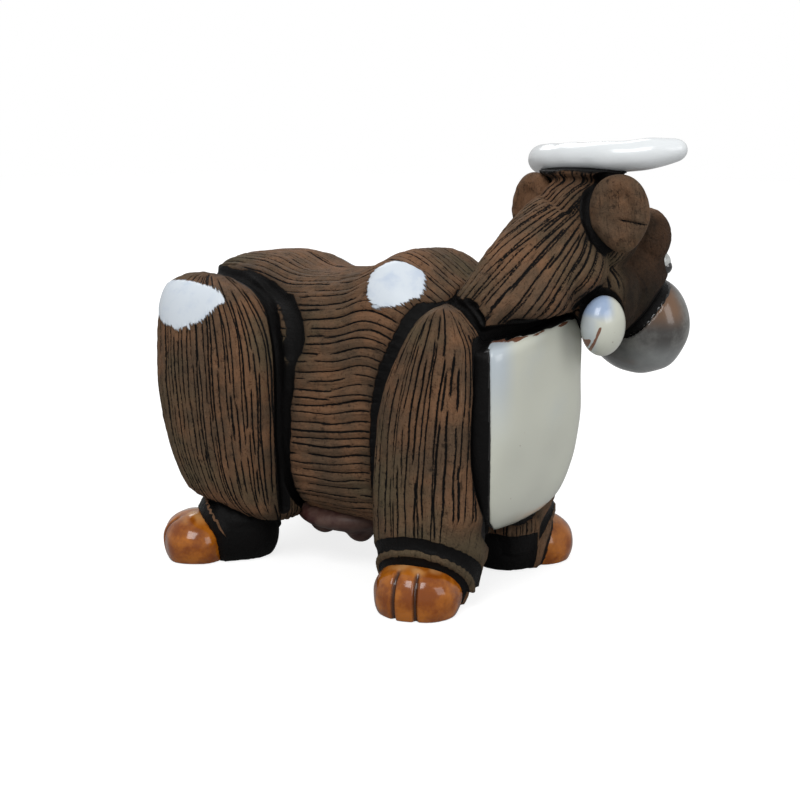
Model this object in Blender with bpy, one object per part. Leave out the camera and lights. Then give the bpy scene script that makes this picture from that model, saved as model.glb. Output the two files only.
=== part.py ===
"""Hand-built terracotta cow figurine: one piece of fired clay, carved and partly glazed.

Units are metres. +X is the way the body faces, +Y is the cow's left side, +Z is up.
The body is symmetric about its long axis; the head is turned to the cow's left.
The model is laid out about the point midway between the four hooves, on the surface
that it stands on, and is moved at the end so that the origin is the middle of its
footprint box, on that surface.
"""
import bmesh
import bpy
from math import cos, pi, radians, sin
from mathutils import Matrix, Vector
from mathutils.bvhtree import BVHTree
from mathutils.kdtree import KDTree

# Stance: hoof centres, measured on the surface that the cow stands on
WHEELBASE = 0.0650
FRONT_TRACK = 0.0425
REAR_TRACK = 0.048
HOOF_LENGTH = 0.021
HOOF_WIDTH = 0.0200
HOOF_HEIGHT = 0.0125
FRONT_TOE_REACH = 0.0052
REAR_TOE_REACH = 0.0066
FRONT_TOE_YAW = 68.0
REAR_TOE_YAW = 130.0

# Trunk
RUMP_HEIGHT = 0.0785
SADDLE_HEIGHT = 0.0755
WITHERS_HEIGHT = 0.0820
BELLY_CLEARANCE = 0.0125
UDDER_DROP = 0.0055
TEAT_SIZE = 0.0080
TRUNK_WIDTH = 0.051
TRUNK_ROUNDNESS = 3.0
RUMP_OVERHANG = 0.0160
CHEST_OVERHANG = 0.0130

# Hind quarters and shoulders
THIGH_LENGTH = 0.0430
THIGH_DEPTH = 0.032
THIGH_HEIGHT = 0.0615
THIGH_BOTTOM = 0.0120
THIGH_FORWARD = 0.0030
THIGH_INSET = 0.0055
THIGH_YAW = -8.0
THIGH_ROUNDNESS = 2.8
SHOULDER_WIDTH = 0.0280
SHOULDER_DEPTH = 0.023
SHOULDER_TOP = 0.0710
SHOULDER_BOTTOM = 0.0045
SHOULDER_INSET = 0.0032
SHOULDER_YAW = 69.0
SHOULDER_LEAN = 0.0039
SHOULDER_ROUNDNESS = 2.2

# Chest shield
BIB_WIDTH = 0.0420
BIB_TOP = 0.0655
BIB_BOTTOM = 0.0140
BIB_DEPTH = 0.024
BIB_PROUD = 0.0078
BIB_SIDE = -0.0010
BIB_SLANT = 0.07
BIB_ROUNDNESS = 5.5

# Neck and head; the head's own axes are right, forward and up
NECK_WIDTH = 0.031
NECK_ROUNDNESS = 2.6
HEAD_TURN = 80.0
HEAD_FORWARD = 0.0180
HEAD_SIDE = 0.0150
HEAD_HEIGHT = 0.0905
HEAD_WIDTH = 0.0250
HEAD_LENGTH = 0.0262
HEAD_DEPTH = 0.0250
FACE_DROP = 0.0283
MUZZLE_REACH = 0.0255
MUZZLE_WIDTH = 0.0270
MUZZLE_LENGTH = 0.0210
MUZZLE_HEIGHT = 0.0254
EYE_SIZE = 0.0058
EYE_SPACING = 0.0150
BROW_SPACING = 0.0130
EAR_LENGTH = 0.0178
EAR_WIDTH = 0.0137
EAR_THICKNESS = 0.0055
EAR_LEAN = -9.0
RIGHT_EAR_FLARE = 30.0
LEFT_EAR_FLARE = -5.0
HORN_SPAN = 0.0398
HORN_THICKNESS = 0.0072
HORN_SWEEP = 0.0100
HORN_RISE = 0.0132

# Carving: broad channels between the masses, and furrows that run along each mass
CHANNEL_WIDTH = 0.0046
CHANNEL_DEPTH = 0.0016
FURROW_WIDTH = 0.0021
FURROW_DEPTH = 0.0007
FURROW_PITCH = 0.0044
FURROW_REACH = 0.0009
FINE_CHANNEL_WIDTH = 0.0026
FINE_CHANNEL_DEPTH = 0.0009
CHANNEL_REACH = 0.0060

# Mesh
VOXEL = 0.0009
TRIANGLES = 11600
RING_POINTS = 48
LOFT_STEPS = 4
PATH_STEP = 0.0006

FRONT_X = WHEELBASE / 2
REAR_X = -WHEELBASE / 2
FRONT_Y = FRONT_TRACK / 2
REAR_Y = REAR_TRACK / 2


def clear_scene():
    for existing in list(bpy.data.objects):
        bpy.data.objects.remove(existing)


def link(name, mesh):
    piece = bpy.data.objects.new(name, mesh)
    bpy.context.collection.objects.link(piece)
    return piece


def rotation(yaw=0.0, pitch=0.0, roll=0.0):
    return (Matrix.Rotation(radians(yaw), 3, "Z")
            @ Matrix.Rotation(radians(pitch), 3, "Y")
            @ Matrix.Rotation(radians(roll), 3, "X"))


def squared(value, roundness):
    return (1 if value >= 0 else -1) * abs(value) ** (2 / roundness)


def evenly_spaced(path, count):
    """Points at equal steps along a path, its ends included."""
    lengths = [0.0]
    for start, end in zip(path, path[1:]):
        lengths.append(lengths[-1] + (end - start).length)
    spaced = []
    segment = 0
    for step in range(count):
        target = lengths[-1] * step / (count - 1)
        while segment < len(path) - 2 and lengths[segment + 1] < target:
            segment += 1
        span = lengths[segment + 1] - lengths[segment]
        share = (target - lengths[segment]) / span if span else 0.0
        spaced.append(path[segment].lerp(path[segment + 1], share))
    return spaced


def blob(centre, half_sizes, turn=None, roundness=2.0):
    """A ball stretched to its half sizes; a higher roundness makes it boxier."""
    ball = bmesh.new()
    bmesh.ops.create_icosphere(ball, subdivisions=4, radius=1.0)
    turn = turn or Matrix.Identity(3)
    for vertex in ball.verts:
        direction = vertex.co.normalized()
        reach = sum(abs(part) ** roundness for part in direction) ** (-1 / roundness)
        local = Vector(part * reach * half for part, half in zip(direction, half_sizes))
        vertex.co = turn @ local + Vector(centre)
    mesh = bpy.data.meshes.new("blob")
    ball.to_mesh(mesh)
    ball.free()
    return link("blob", mesh)


def curve_through(points, steps_between):
    """Points of a smooth curve through the points, with so many steps between each two."""
    path = []
    padded = [points[0]] + list(points) + [points[-1]]
    for before, start, end, after in zip(padded, padded[1:], padded[2:], padded[3:]):
        steps = steps_between(start, end)
        for step in range(steps):
            t = step / steps
            path.append(0.5 * (2 * start + (end - before) * t
                               + (2 * before - 5 * start + 4 * end - after) * t ** 2
                               + (3 * start - 3 * end + after - before) * t ** 3))
    path.append(points[-1])
    return path


def loft(rings):
    """Skin a list of closed rings, all with the same number of points, and cap both ends."""
    hull = bmesh.new()
    columns = [curve_through(column, lambda start, end: LOFT_STEPS) for column in zip(*rings)]
    rows = [[hull.verts.new(point) for point in row] for row in zip(*columns)]
    count = len(rows[0])
    for lower, upper in zip(rows, rows[1:]):
        for step in range(count):
            after = (step + 1) % count
            hull.faces.new((lower[step], lower[after], upper[after], upper[step]))
    hull.faces.new(list(reversed(rows[0])))
    hull.faces.new(rows[-1])
    bmesh.ops.recalc_face_normals(hull, faces=hull.faces)
    mesh = bpy.data.meshes.new("loft")
    hull.to_mesh(mesh)
    hull.free()
    return link("loft", mesh)


def ring(centre, along, across, half_along, half_across, roundness=2.0):
    """A rounded ring about centre, in the plane of the two unit vectors, evenly stepped."""
    fine = []
    for step in range(4 * RING_POINTS):
        angle = 2 * pi * step / (4 * RING_POINTS)
        a = squared(cos(angle), roundness) * half_along
        b = squared(sin(angle), roundness) * half_across
        fine.append(Vector(centre) + Vector(along) * a + Vector(across) * b)
    return evenly_spaced(fine + fine[:1], RING_POINTS + 1)[:-1]


def trunk_rings():
    """Barrel of the body, from the rump to the chest.

    Each station is how far forward it lies, its half width and the heights of its belly and back.
    """
    rump_end = REAR_X - RUMP_OVERHANG
    chest_end = FRONT_X + CHEST_OVERHANG
    half = TRUNK_WIDTH / 2
    belly = BELLY_CLEARANCE
    stations = [
        (rump_end, 0.62 * half, belly + 0.022, RUMP_HEIGHT - 0.018),
        (rump_end + 0.004, 0.84 * half, belly + 0.013, RUMP_HEIGHT - 0.0075),
        (REAR_X - 0.006, 0.96 * half, belly + 0.006, RUMP_HEIGHT - 0.001),
        (REAR_X + 0.007, half, belly + 0.001, RUMP_HEIGHT + 0.0004),
        (-0.013, half, belly, SADDLE_HEIGHT),
        (0.006, half, belly, 0.5 * (SADDLE_HEIGHT + WITHERS_HEIGHT) - 0.001),
        (0.0185, 0.97 * half, belly, WITHERS_HEIGHT),
        (0.033, 0.92 * half, belly + 0.001, WITHERS_HEIGHT - 0.0085),
        (chest_end - 0.004, 0.84 * half, belly + 0.003, WITHERS_HEIGHT - 0.014),
        (chest_end, 0.70 * half, belly + 0.008, WITHERS_HEIGHT - 0.020),
    ]
    rings = []
    for x, half_width, low, high in stations:
        centre = (x, 0, (low + high) / 2)
        rings.append(ring(centre, (0, 1, 0), (0, 0, 1), half_width, (high - low) / 2,
                          TRUNK_ROUNDNESS))
    return rings


def thigh_rings(side):
    """Boxy hind quarter on one side, -1 right and +1 left.

    Each level is its share of the height, its share of the size and how far forward it lies.
    """
    turn = rotation(yaw=side * THIGH_YAW)
    levels = [
        (0.00, 0.44, 0.0080),
        (0.04, 0.66, 0.0055),
        (0.12, 0.81, 0.0028),
        (0.30, 0.94, 0.0008),
        (0.52, 1.00, 0.0),
        (0.68, 1.00, -0.0004),
        (0.80, 0.94, -0.0016),
        (0.90, 0.82, -0.0038),
        (0.965, 0.65, -0.0060),
        (1.00, 0.40, -0.0078),
    ]
    rings = []
    for share, size, forward in levels:
        centre = (REAR_X + THIGH_FORWARD + forward, side * (REAR_Y - THIGH_INSET),
                  THIGH_BOTTOM + share * THIGH_HEIGHT)
        rings.append(ring(centre, turn @ Vector((1, 0, 0)), turn @ Vector((0, 1, 0)),
                          size * THIGH_LENGTH / 2, size * THIGH_DEPTH / 2, THIGH_ROUNDNESS))
    return rings


def shoulder_rings(side):
    """Teardrop front leg and shoulder on one side, from the ankle to its pointed top.

    Each level is its share of the height, its share of the lean and its share of the width.
    """
    out = Vector((cos(radians(SHOULDER_YAW)), side * sin(radians(SHOULDER_YAW)), 0))
    along = Vector((out.y, -out.x, 0))
    levels = [
        (0.0, 0.0, 0.86),
        (0.17, 0.0, 1.00),
        (0.38, 0.0, 1.00),
        (0.60, 0.20, 0.96),
        (0.75, 0.50, 0.85),
        (0.865, 0.82, 0.68),
        (0.94, 0.95, 0.49),
        (0.985, 1.0, 0.28),
        (1.0, 1.0, 0.10),
    ]
    rings = []
    for share, lean, width in levels:
        centre = (FRONT_X + lean * SHOULDER_LEAN, side * (FRONT_Y - SHOULDER_INSET),
                  SHOULDER_BOTTOM + share * (SHOULDER_TOP - SHOULDER_BOTTOM))
        depth = (0.45 + 0.55 * width) * SHOULDER_DEPTH / 2
        rings.append(ring(centre, along, out, width * SHOULDER_WIDTH / 2, depth, SHOULDER_ROUNDNESS))
    return rings


def hoof(x, y, yaw, reach, ankle_x):
    """Rounded ankle and the domed toe in front of it."""
    side = 1 if y > 0 else -1
    toe_way = Vector((cos(radians(yaw)), side * sin(radians(yaw)), 0))
    centre = Vector((x, y, 0))
    toe_centre = centre + toe_way * reach + Vector((0, 0, 0.0040))
    toe_turn = rotation(yaw=side * yaw)
    toe = blob(toe_centre, (HOOF_LENGTH / 2 - 0.002, HOOF_WIDTH / 2, HOOF_HEIGHT - 0.0045),
               toe_turn, roundness=2.2)
    ankle_centre = (x + ankle_x, y - side * 0.003, 0.0065)
    ankle = blob(ankle_centre, (HOOF_LENGTH / 2 + 0.0015, HOOF_WIDTH / 2 + 0.001, 0.0105),
                 toe_turn, roundness=2.4)
    return [toe, ankle]


def bib():
    """Shield on the chest, with a slanted top.

    Each level is its share of the height, its share of the width and its share of the depth.
    """
    front = FRONT_X + CHEST_OVERHANG + BIB_PROUD
    levels = [
        (0.00, 0.33, 0.30),
        (0.04, 0.48, 0.42),
        (0.12, 0.65, 0.56),
        (0.22, 0.80, 0.68),
        (0.37, 0.95, 0.86),
        (0.54, 1.00, 0.98),
        (0.75, 0.99, 0.98),
        (0.94, 0.97, 0.96),
        (0.985, 0.95, 0.92),
        (1.00, 0.91, 0.85),
    ]
    rings = []
    for share, width, depth in levels:
        centre = (front - BIB_DEPTH / 2, BIB_SIDE, BIB_BOTTOM + share * (BIB_TOP - BIB_BOTTOM))
        across = Vector((0, 1, share * BIB_SLANT))
        rings.append(ring(centre, (1, 0, 0), across, depth * BIB_DEPTH / 2, width * BIB_WIDTH / 2,
                          BIB_ROUNDNESS))
    return loft(rings)


def head_axes():
    forward = Vector((cos(radians(HEAD_TURN)), sin(radians(HEAD_TURN)), 0))
    right = Vector((sin(radians(HEAD_TURN)), -cos(radians(HEAD_TURN)), 0))
    return right, forward, Vector((0, 0, 1))


def head_point(right_by, forward_by, up_by):
    right, forward, up = head_axes()
    middle = Vector((FRONT_X + HEAD_FORWARD, HEAD_SIDE, HEAD_HEIGHT))
    return middle + right * right_by + forward * forward_by + up * up_by


def neck_rings():
    """Thick neck from the withers and chest up to the back of the head."""
    nape = head_point(0, -0.001, 0.001)
    half = NECK_WIDTH / 2
    base = Vector((FRONT_X, 0, 0.0580))
    middle = Vector((FRONT_X + 0.0138, 0.0034, 0.0760))
    sections = [
        (base, Vector((1, 0, -0.05)), 0.0130, half + 0.0045),
        (base.lerp(middle, 0.58), Vector((1, 0, -0.25)), 0.0105, half + 0.003),
        (middle, Vector((1, 0.1, -0.67)), 0.0115, half + 0.0005),
        (middle.lerp(nape, 0.5), Vector((1, 0.3, -0.70)), 0.0112, half - 0.0018),
        (nape, Vector((1, 0.4, -0.5)), 0.0090, half - 0.0055),
    ]
    rings = []
    for centre, deep, half_deep, half_wide in sections:
        along = deep.normalized()
        across = Vector((0, 0, 1)).cross(along).normalized()
        rings.append(ring(centre, along, across, half_deep, half_wide, NECK_ROUNDNESS))
    return rings


def head():
    """Skull, face, jaw, muzzle, throat, brows, cheeks and eyes of the turned head."""
    turn = rotation(yaw=HEAD_TURN - 90)
    half_width = HEAD_WIDTH / 2
    skull = (half_width, HEAD_LENGTH / 2, HEAD_DEPTH / 2)
    face = (half_width - 0.0018, 0.0108, 0.0145)
    jaw = (half_width - 0.0013, 0.0115, 0.0112)
    throat = (0.0110, 0.0100, 0.0100)
    horn_base = (0.0138, 0.0072, 0.0030)
    snout = (MUZZLE_WIDTH / 2, MUZZLE_LENGTH / 2, MUZZLE_HEIGHT / 2)
    masses = [
        blob(head_point(0, 0.0039, -0.0020), skull, turn, roundness=2.3),
        blob(head_point(0, 0.0185, -0.0165), face, turn, roundness=2.3),
        blob(head_point(0, 0.0070, -0.0195), jaw, turn, roundness=2.2),
        blob(head_point(0, MUZZLE_REACH, -FACE_DROP), snout, turn, roundness=2.1),
        blob(head_point(0.0015, -0.0060, -0.0115), throat, turn),
        blob(head_point(0, 0.0015, HORN_RISE - 0.0030), horn_base, turn),
    ]
    for side in (-1, 1):
        brow = head_point(side * BROW_SPACING / 2, 0.0192, -0.0058)
        cheek = head_point(side * (half_width - 0.0012), -0.0028, -0.0250)
        eye = head_point(side * EYE_SPACING / 2, 0.0245, -0.0120)
        masses.append(blob(brow, (0.0058, 0.0056, 0.0072)))
        masses.append(blob(cheek, (0.0046, 0.0060, 0.0071), turn))
        masses.append(blob(eye, (EYE_SIZE / 2,) * 3))
    return masses


def ear(side):
    """Drooping leaf-shaped ear."""
    centre = head_point(side * (HEAD_WIDTH / 2 + (0.0015 if side > 0 else 0.0)), -0.0015, 0.0010)
    flare = RIGHT_EAR_FLARE if side > 0 else LEFT_EAR_FLARE
    turn = rotation(yaw=HEAD_TURN - 90 + flare) @ rotation(pitch=side * EAR_LEAN)
    return blob(centre, (EAR_WIDTH / 2, EAR_THICKNESS / 2, EAR_LENGTH / 2), turn, 2.2)


def horns():
    """Flat crescent lying across the poll, with its tips swept forward.

    Each point is its shares of the half span, the sweep and the thickness, and how far up it lies.
    """
    half = HORN_SPAN / 2
    points = [
        (-1.00, 1.00, 0.78, -0.0004),
        (-0.80, 0.62, 1.00, -0.0003),
        (-0.45, 0.22, 1.08, 0.0),
        (0.0, 0.08, 1.12, 0.0002),
        (0.45, 0.22, 1.08, 0.0005),
        (0.80, 0.62, 0.98, 0.0012),
        (1.00, 1.00, 0.76, 0.0020),
    ]
    masses = []
    steps = 5
    for start, end in zip(points, points[1:]):
        for step in range(steps + (end is points[-1])):
            share = step / steps
            out, sweep, size, up_by = (a + (b - a) * share for a, b in zip(start, end))
            centre = head_point(out * half, sweep * HORN_SWEEP, HORN_RISE + up_by)
            thick = HORN_THICKNESS / 2
            masses.append(blob(centre, (thick * 1.15 * size, thick * 1.15 * size, thick * min(size, 1.0))))
    return masses


def udder():
    """Low rounded udder with four teats under the belly."""
    masses = [blob((-0.003, 0, BELLY_CLEARANCE + 0.0005), (0.018, 0.019, UDDER_DROP))]
    for x in (-0.009, 0.003):
        for side in (-1, 1):
            masses.append(blob((x, side * 0.009, BELLY_CLEARANCE + 0.0033 - UDDER_DROP),
                               (TEAT_SIZE / 2,) * 3))
    return masses


def tail():
    """Tail lying down the rump in low relief."""
    masses = []
    for step in range(14):
        share = step / 13
        height = RUMP_HEIGHT - 0.006 - share * 0.046
        bow = -0.0018 * sin(pi * share)
        size = 0.0028 + (0.0022 if share > 0.75 else 0.0)
        masses.append(blob((REAR_X - RUMP_OVERHANG + 0.0035 * (1 - share) ** 2 + bow, 0, height),
                           (size, size, size + 0.001)))
    return masses


def material():
    clay = bpy.data.materials.new("carved_terracotta")
    clay.use_nodes = True
    shader = clay.node_tree.nodes["Principled BSDF"]
    shader.inputs["Base Color"].default_value = (0.105, 0.055, 0.032, 1)
    shader.inputs["Roughness"].default_value = 0.62
    shader.inputs["Metallic"].default_value = 0.0
    return clay


def join(pieces, name):
    """Join pieces into one object; their overlaps are merged by the remesh that follows."""
    whole = bmesh.new()
    for piece in pieces:
        whole.from_mesh(piece.data)
    mesh = bpy.data.meshes.new(name)
    whole.to_mesh(mesh)
    whole.free()
    for piece in pieces:
        bpy.data.objects.remove(piece)
    return link(name, mesh)


def baked(piece):
    """Apply the piece's modifiers to its own mesh."""
    depsgraph = bpy.context.evaluated_depsgraph_get()
    mesh = bpy.data.meshes.new_from_object(piece.evaluated_get(depsgraph))
    piece.modifiers.clear()
    piece.data = mesh


def fuse(piece):
    remesh = piece.modifiers.new("fuse", "REMESH")
    remesh.mode = "VOXEL"
    remesh.voxel_size = VOXEL
    smooth = piece.modifiers.new("soften", "SMOOTH")
    smooth.factor = 0.5
    smooth.iterations = 4
    baked(piece)


def fine_steps(start, end):
    return max(2, int((end - start).length / PATH_STEP))


def draped(piece, lines, reach):
    """Spots on the surface of the clay along lines, where the lines are within reach of it."""
    clay = bmesh.new()
    clay.from_mesh(piece.data)
    surface = BVHTree.FromBMesh(clay)
    clay.free()
    spots = []
    for line in lines:
        for point in curve_through(line, fine_steps):
            spot, normal, face, distance = surface.find_nearest(point)
            if distance < reach:
                spots.append(spot)
    near = KDTree(len(spots))
    for index, spot in enumerate(spots):
        near.insert(spot, index)
    near.balance()
    return near


def press(piece, near, width, depth, clear_of=None, clearance=0.0):
    """Press rounded grooves into the clay along spots, but not within the clearance of others."""
    clay = bmesh.new()
    clay.from_mesh(piece.data)
    for vertex in clay.verts:
        distance = near.find(vertex.co)[2]
        if clear_of and clear_of.find(vertex.co)[2] < clearance:
            continue
        if distance < width / 2:
            vertex.co = vertex.co - vertex.normal * depth * (1 - (2 * distance / width) ** 2)
    clay.to_mesh(piece.data)
    clay.free()


def mirrored(points, side):
    return [Vector((x, side * y, z)) for x, y, z in points]


def body_channels(side):
    """Channels round the thigh and the shoulder, on one side."""
    front = REAR_X + THIGH_FORWARD + THIGH_LENGTH / 2
    flank = TRUNK_WIDTH / 2 + 0.0015
    hip = THIGH_BOTTOM + THIGH_HEIGHT
    thigh_edge = [
        (front - 0.0025, flank - 0.0040, THIGH_BOTTOM + 0.004),
        (front - 0.0007, flank - 0.0020, 0.0290),
        (front + 0.0008, flank - 0.0018, 0.0430),
        (front + 0.0028, flank - 0.0028, hip - 0.0200),
        (front + 0.0044, flank - 0.0025, hip - 0.0130),
        (front + 0.0007, flank - 0.0050, hip - 0.0072),
        (front - 0.0101, flank - 0.0085, hip - 0.0020),
        (front - 0.0207, flank - 0.0105, hip),
        (front - 0.0348, flank - 0.0140, hip - 0.0010),
        (front - 0.0428, flank - 0.0170, hip - 0.0070),
        (front - 0.0448, flank - 0.0180, hip - 0.0220),
        (front - 0.0438, flank - 0.0180, THIGH_BOTTOM + 0.0100),
    ]
    shoulder_edge = [
        (FRONT_X - 0.0110, FRONT_Y + 0.0062, 0.0160),
        (FRONT_X - 0.0110, FRONT_Y + 0.0052, 0.0270),
        (FRONT_X - 0.0105, FRONT_Y + 0.0039, 0.0365),
        (FRONT_X - 0.0097, FRONT_Y + 0.0030, 0.0466),
        (FRONT_X - 0.0085, FRONT_Y + 0.0023, 0.0538),
        (FRONT_X - 0.0050, FRONT_Y + 0.0013, 0.0623),
        (FRONT_X - 0.0020, FRONT_Y - 0.0018, SHOULDER_TOP - 0.0025),
        (FRONT_X + 0.0015, FRONT_Y - 0.0042, SHOULDER_TOP + 0.0005),
        (FRONT_X + 0.0055, FRONT_Y - 0.0048, SHOULDER_TOP + 0.0005),
        (FRONT_X + 0.0085, FRONT_Y - 0.0050, SHOULDER_TOP - 0.0015),
        (FRONT_X + 0.0110, FRONT_Y - 0.0048, SHOULDER_TOP - 0.0045),
        (FRONT_X + 0.0135, FRONT_Y - 0.0028, 0.0600),
        (FRONT_X + 0.0150, FRONT_Y - 0.0016, 0.0520),
        (FRONT_X + 0.0158, FRONT_Y - 0.0010, 0.0420),
        (FRONT_X + 0.0155, FRONT_Y - 0.0016, 0.0327),
        (FRONT_X + 0.0140, FRONT_Y - 0.0038, 0.0240),
    ]
    return [mirrored(thigh_edge, side), mirrored(shoulder_edge, side)]


def throat_channel():
    """Channel between the chest shield and the neck above it."""
    front = FRONT_X + CHEST_OVERHANG + BIB_PROUD
    half = BIB_WIDTH / 2
    points = [
        (front - 0.0055, -half + 0.0015, BIB_TOP - 0.0005),
        (front - 0.0030, -half + 0.0070, BIB_TOP + 0.0008),
        (front - 0.0015, 0, BIB_TOP + 0.0023),
        (front - 0.0015, half - 0.0110, BIB_TOP + 0.0035),
        (front - 0.0040, half - 0.0040, BIB_TOP + 0.0045),
    ]
    return [mirrored(points, 1)]


def hoof_arches(x, y, yaw, reach):
    """Arched channels over the toe cap and over the ankle of one hoof."""
    side = 1 if y > 0 else -1
    toe_way = Vector((cos(radians(yaw)), side * sin(radians(yaw)), 0))
    across = Vector((-toe_way.y, toe_way.x, 0))
    middle = Vector((x, y, 0)) + toe_way * reach
    arches = []
    for half_width, height, lean, foot in ((HOOF_WIDTH / 2 + 0.0005, HOOF_HEIGHT + 0.0008, 0.0045, -0.0028),
                                           (HOOF_WIDTH / 2 + 0.0035, HOOF_HEIGHT + 0.0050, 0.0065, -0.0050)):
        arch = []
        for step in range(9):
            angle = pi * step / 8
            rise = sin(angle)
            arch.append(middle + across * half_width * cos(angle)
                        + toe_way * (foot + lean * rise) + Vector((0, 0, 0.001 + height * rise)))
        arches.append(arch)
    return arches


def toe_clefts(x, y, yaw, reach):
    """Two short grooves down the front of one toe cap."""
    side = 1 if y > 0 else -1
    toe_way = Vector((cos(radians(yaw)), side * sin(radians(yaw)), 0))
    across = Vector((-toe_way.y, toe_way.x, 0))
    middle = Vector((x, y, 0)) + toe_way * reach
    clefts = []
    for share in (-0.26, 0.26):
        top = middle + toe_way * 0.0045 + across * share * HOOF_WIDTH * 0.8
        clefts.append([top + Vector((0, 0, HOOF_HEIGHT - 0.002)),
                       top + toe_way * 0.003 + across * share * 0.002 + Vector((0, 0, 0.55 * HOOF_HEIGHT)),
                       top + toe_way * 0.004 + across * share * 0.003 + Vector((0, 0, 0.0025))])
    return clefts


def nostrils():
    """Two short pressed pits on the front of the muzzle."""
    front = MUZZLE_REACH + MUZZLE_LENGTH / 2 - 0.0015
    return [[head_point(side * 0.0048, front, 0.0030 - FACE_DROP),
             head_point(side * 0.0064, front - 0.0004, 0.0042 - FACE_DROP)] for side in (-1, 1)]


def furrows(rings):
    """Lines that run the length of a lofted mass, spaced round it by the furrow pitch."""
    widest = max(sum((b - a).length for a, b in zip(points, points[1:] + points[:1])) for points in rings)
    count = max(3, round(widest / FURROW_PITCH))
    lines = []
    for line in range(count):
        position = line * RING_POINTS / count
        before = int(position) % RING_POINTS
        after = (before + 1) % RING_POINTS
        share = position - int(position)
        lines.append([points[before].lerp(points[after], share) for points in rings])
    return lines


def reduce(piece):
    triangles = sum(len(face.vertices) - 2 for face in piece.data.polygons)
    decimate = piece.modifiers.new("reduce", "DECIMATE")
    decimate.ratio = min(1.0, TRIANGLES / triangles)
    baked(piece)


def trim_feet(piece):
    """Cut the hooves flat, on the surface that the cow stands on."""
    body = bmesh.new()
    body.from_mesh(piece.data)
    everything = body.verts[:] + body.edges[:] + body.faces[:]
    bmesh.ops.bisect_plane(body, geom=everything, plane_co=(0, 0, 0), plane_no=(0, 0, 1),
                           clear_inner=True)
    rims = [edge for edge in body.edges if edge.is_boundary]
    bmesh.ops.holes_fill(body, edges=rims)
    bmesh.ops.triangulate(body, faces=body.faces[:])
    body.to_mesh(piece.data)
    body.free()


def centre_on_footprint(piece):
    corners = [vertex.co for vertex in piece.data.vertices]
    low = Vector(min(corner[axis] for corner in corners) for axis in range(3))
    high = Vector(max(corner[axis] for corner in corners) for axis in range(3))
    shift = Vector((-(low.x + high.x) / 2, -(low.y + high.y) / 2, -low.z))
    piece.data.transform(Matrix.Translation(shift))
    return shift


def build():
    clear_scene()
    trunk = trunk_rings()
    neck = neck_rings()
    masses = [loft(trunk), loft(neck), bib()] + head() + horns() + udder() + tail()
    carved = furrows(trunk) + furrows(neck[1:])
    channels = throat_channel()
    fine_channels = nostrils()
    for side in (-1, 1):
        thigh = thigh_rings(side)
        shoulder = shoulder_rings(side)
        masses += [loft(thigh), loft(shoulder), ear(side)]
        carved += furrows(thigh) + furrows(shoulder)
        channels += body_channels(side)
        for x, y, yaw, reach, ankle_x in (
                (FRONT_X, side * FRONT_Y, FRONT_TOE_YAW, FRONT_TOE_REACH, -0.0010),
                (REAR_X, side * REAR_Y, REAR_TOE_YAW, REAR_TOE_REACH, 0.0022)):
            masses += hoof(x, y, yaw, reach, ankle_x)
            fine_channels += hoof_arches(x, y, yaw, reach) + toe_clefts(x, y, yaw, reach)
    cow = join(masses, "cow_figurine")
    fuse(cow)
    broad = draped(cow, channels, CHANNEL_REACH)
    fine = draped(cow, fine_channels, CHANNEL_REACH)
    press(cow, draped(cow, carved, FURROW_REACH), FURROW_WIDTH, FURROW_DEPTH, broad, CHANNEL_WIDTH / 2)
    press(cow, broad, CHANNEL_WIDTH, CHANNEL_DEPTH)
    press(cow, fine, FINE_CHANNEL_WIDTH, FINE_CHANNEL_DEPTH)
    reduce(cow)
    trim_feet(cow)
    shift = centre_on_footprint(cow)
    cow.data.materials.clear()
    cow.data.materials.append(material())
    cow.data.shade_smooth()
    return shift


shift_to_origin = build()
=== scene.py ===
"""Looks of the hand-built terracotta cow: carved clay, glazed parts, studio, camera.

The forms are laid out in millimetres about the point midway between the four hooves, with
the part's own values, and are moved into the frame when each mesh is made.
"""

from math import cos, pi, radians, sin

import bmesh
import bpy
import numpy as np
from mathutils import Matrix, Vector
from mathutils.bvhtree import BVHTree


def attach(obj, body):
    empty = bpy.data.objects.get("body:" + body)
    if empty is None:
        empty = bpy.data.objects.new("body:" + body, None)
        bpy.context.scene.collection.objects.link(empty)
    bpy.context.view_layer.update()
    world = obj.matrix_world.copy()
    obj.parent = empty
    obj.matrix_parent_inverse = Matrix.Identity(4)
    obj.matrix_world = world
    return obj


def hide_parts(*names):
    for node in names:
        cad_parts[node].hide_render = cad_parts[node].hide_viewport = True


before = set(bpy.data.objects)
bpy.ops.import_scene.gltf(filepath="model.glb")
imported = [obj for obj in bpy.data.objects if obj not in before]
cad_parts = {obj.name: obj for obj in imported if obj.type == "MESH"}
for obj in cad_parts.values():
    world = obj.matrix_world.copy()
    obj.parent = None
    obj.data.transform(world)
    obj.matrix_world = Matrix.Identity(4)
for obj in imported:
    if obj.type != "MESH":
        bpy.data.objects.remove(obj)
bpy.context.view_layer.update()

NODE = "cow_figurine"
BODY = "root"
MM = 0.001
TO_FRAME = np.array((-10.275, -6.117, 0.0))

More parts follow.
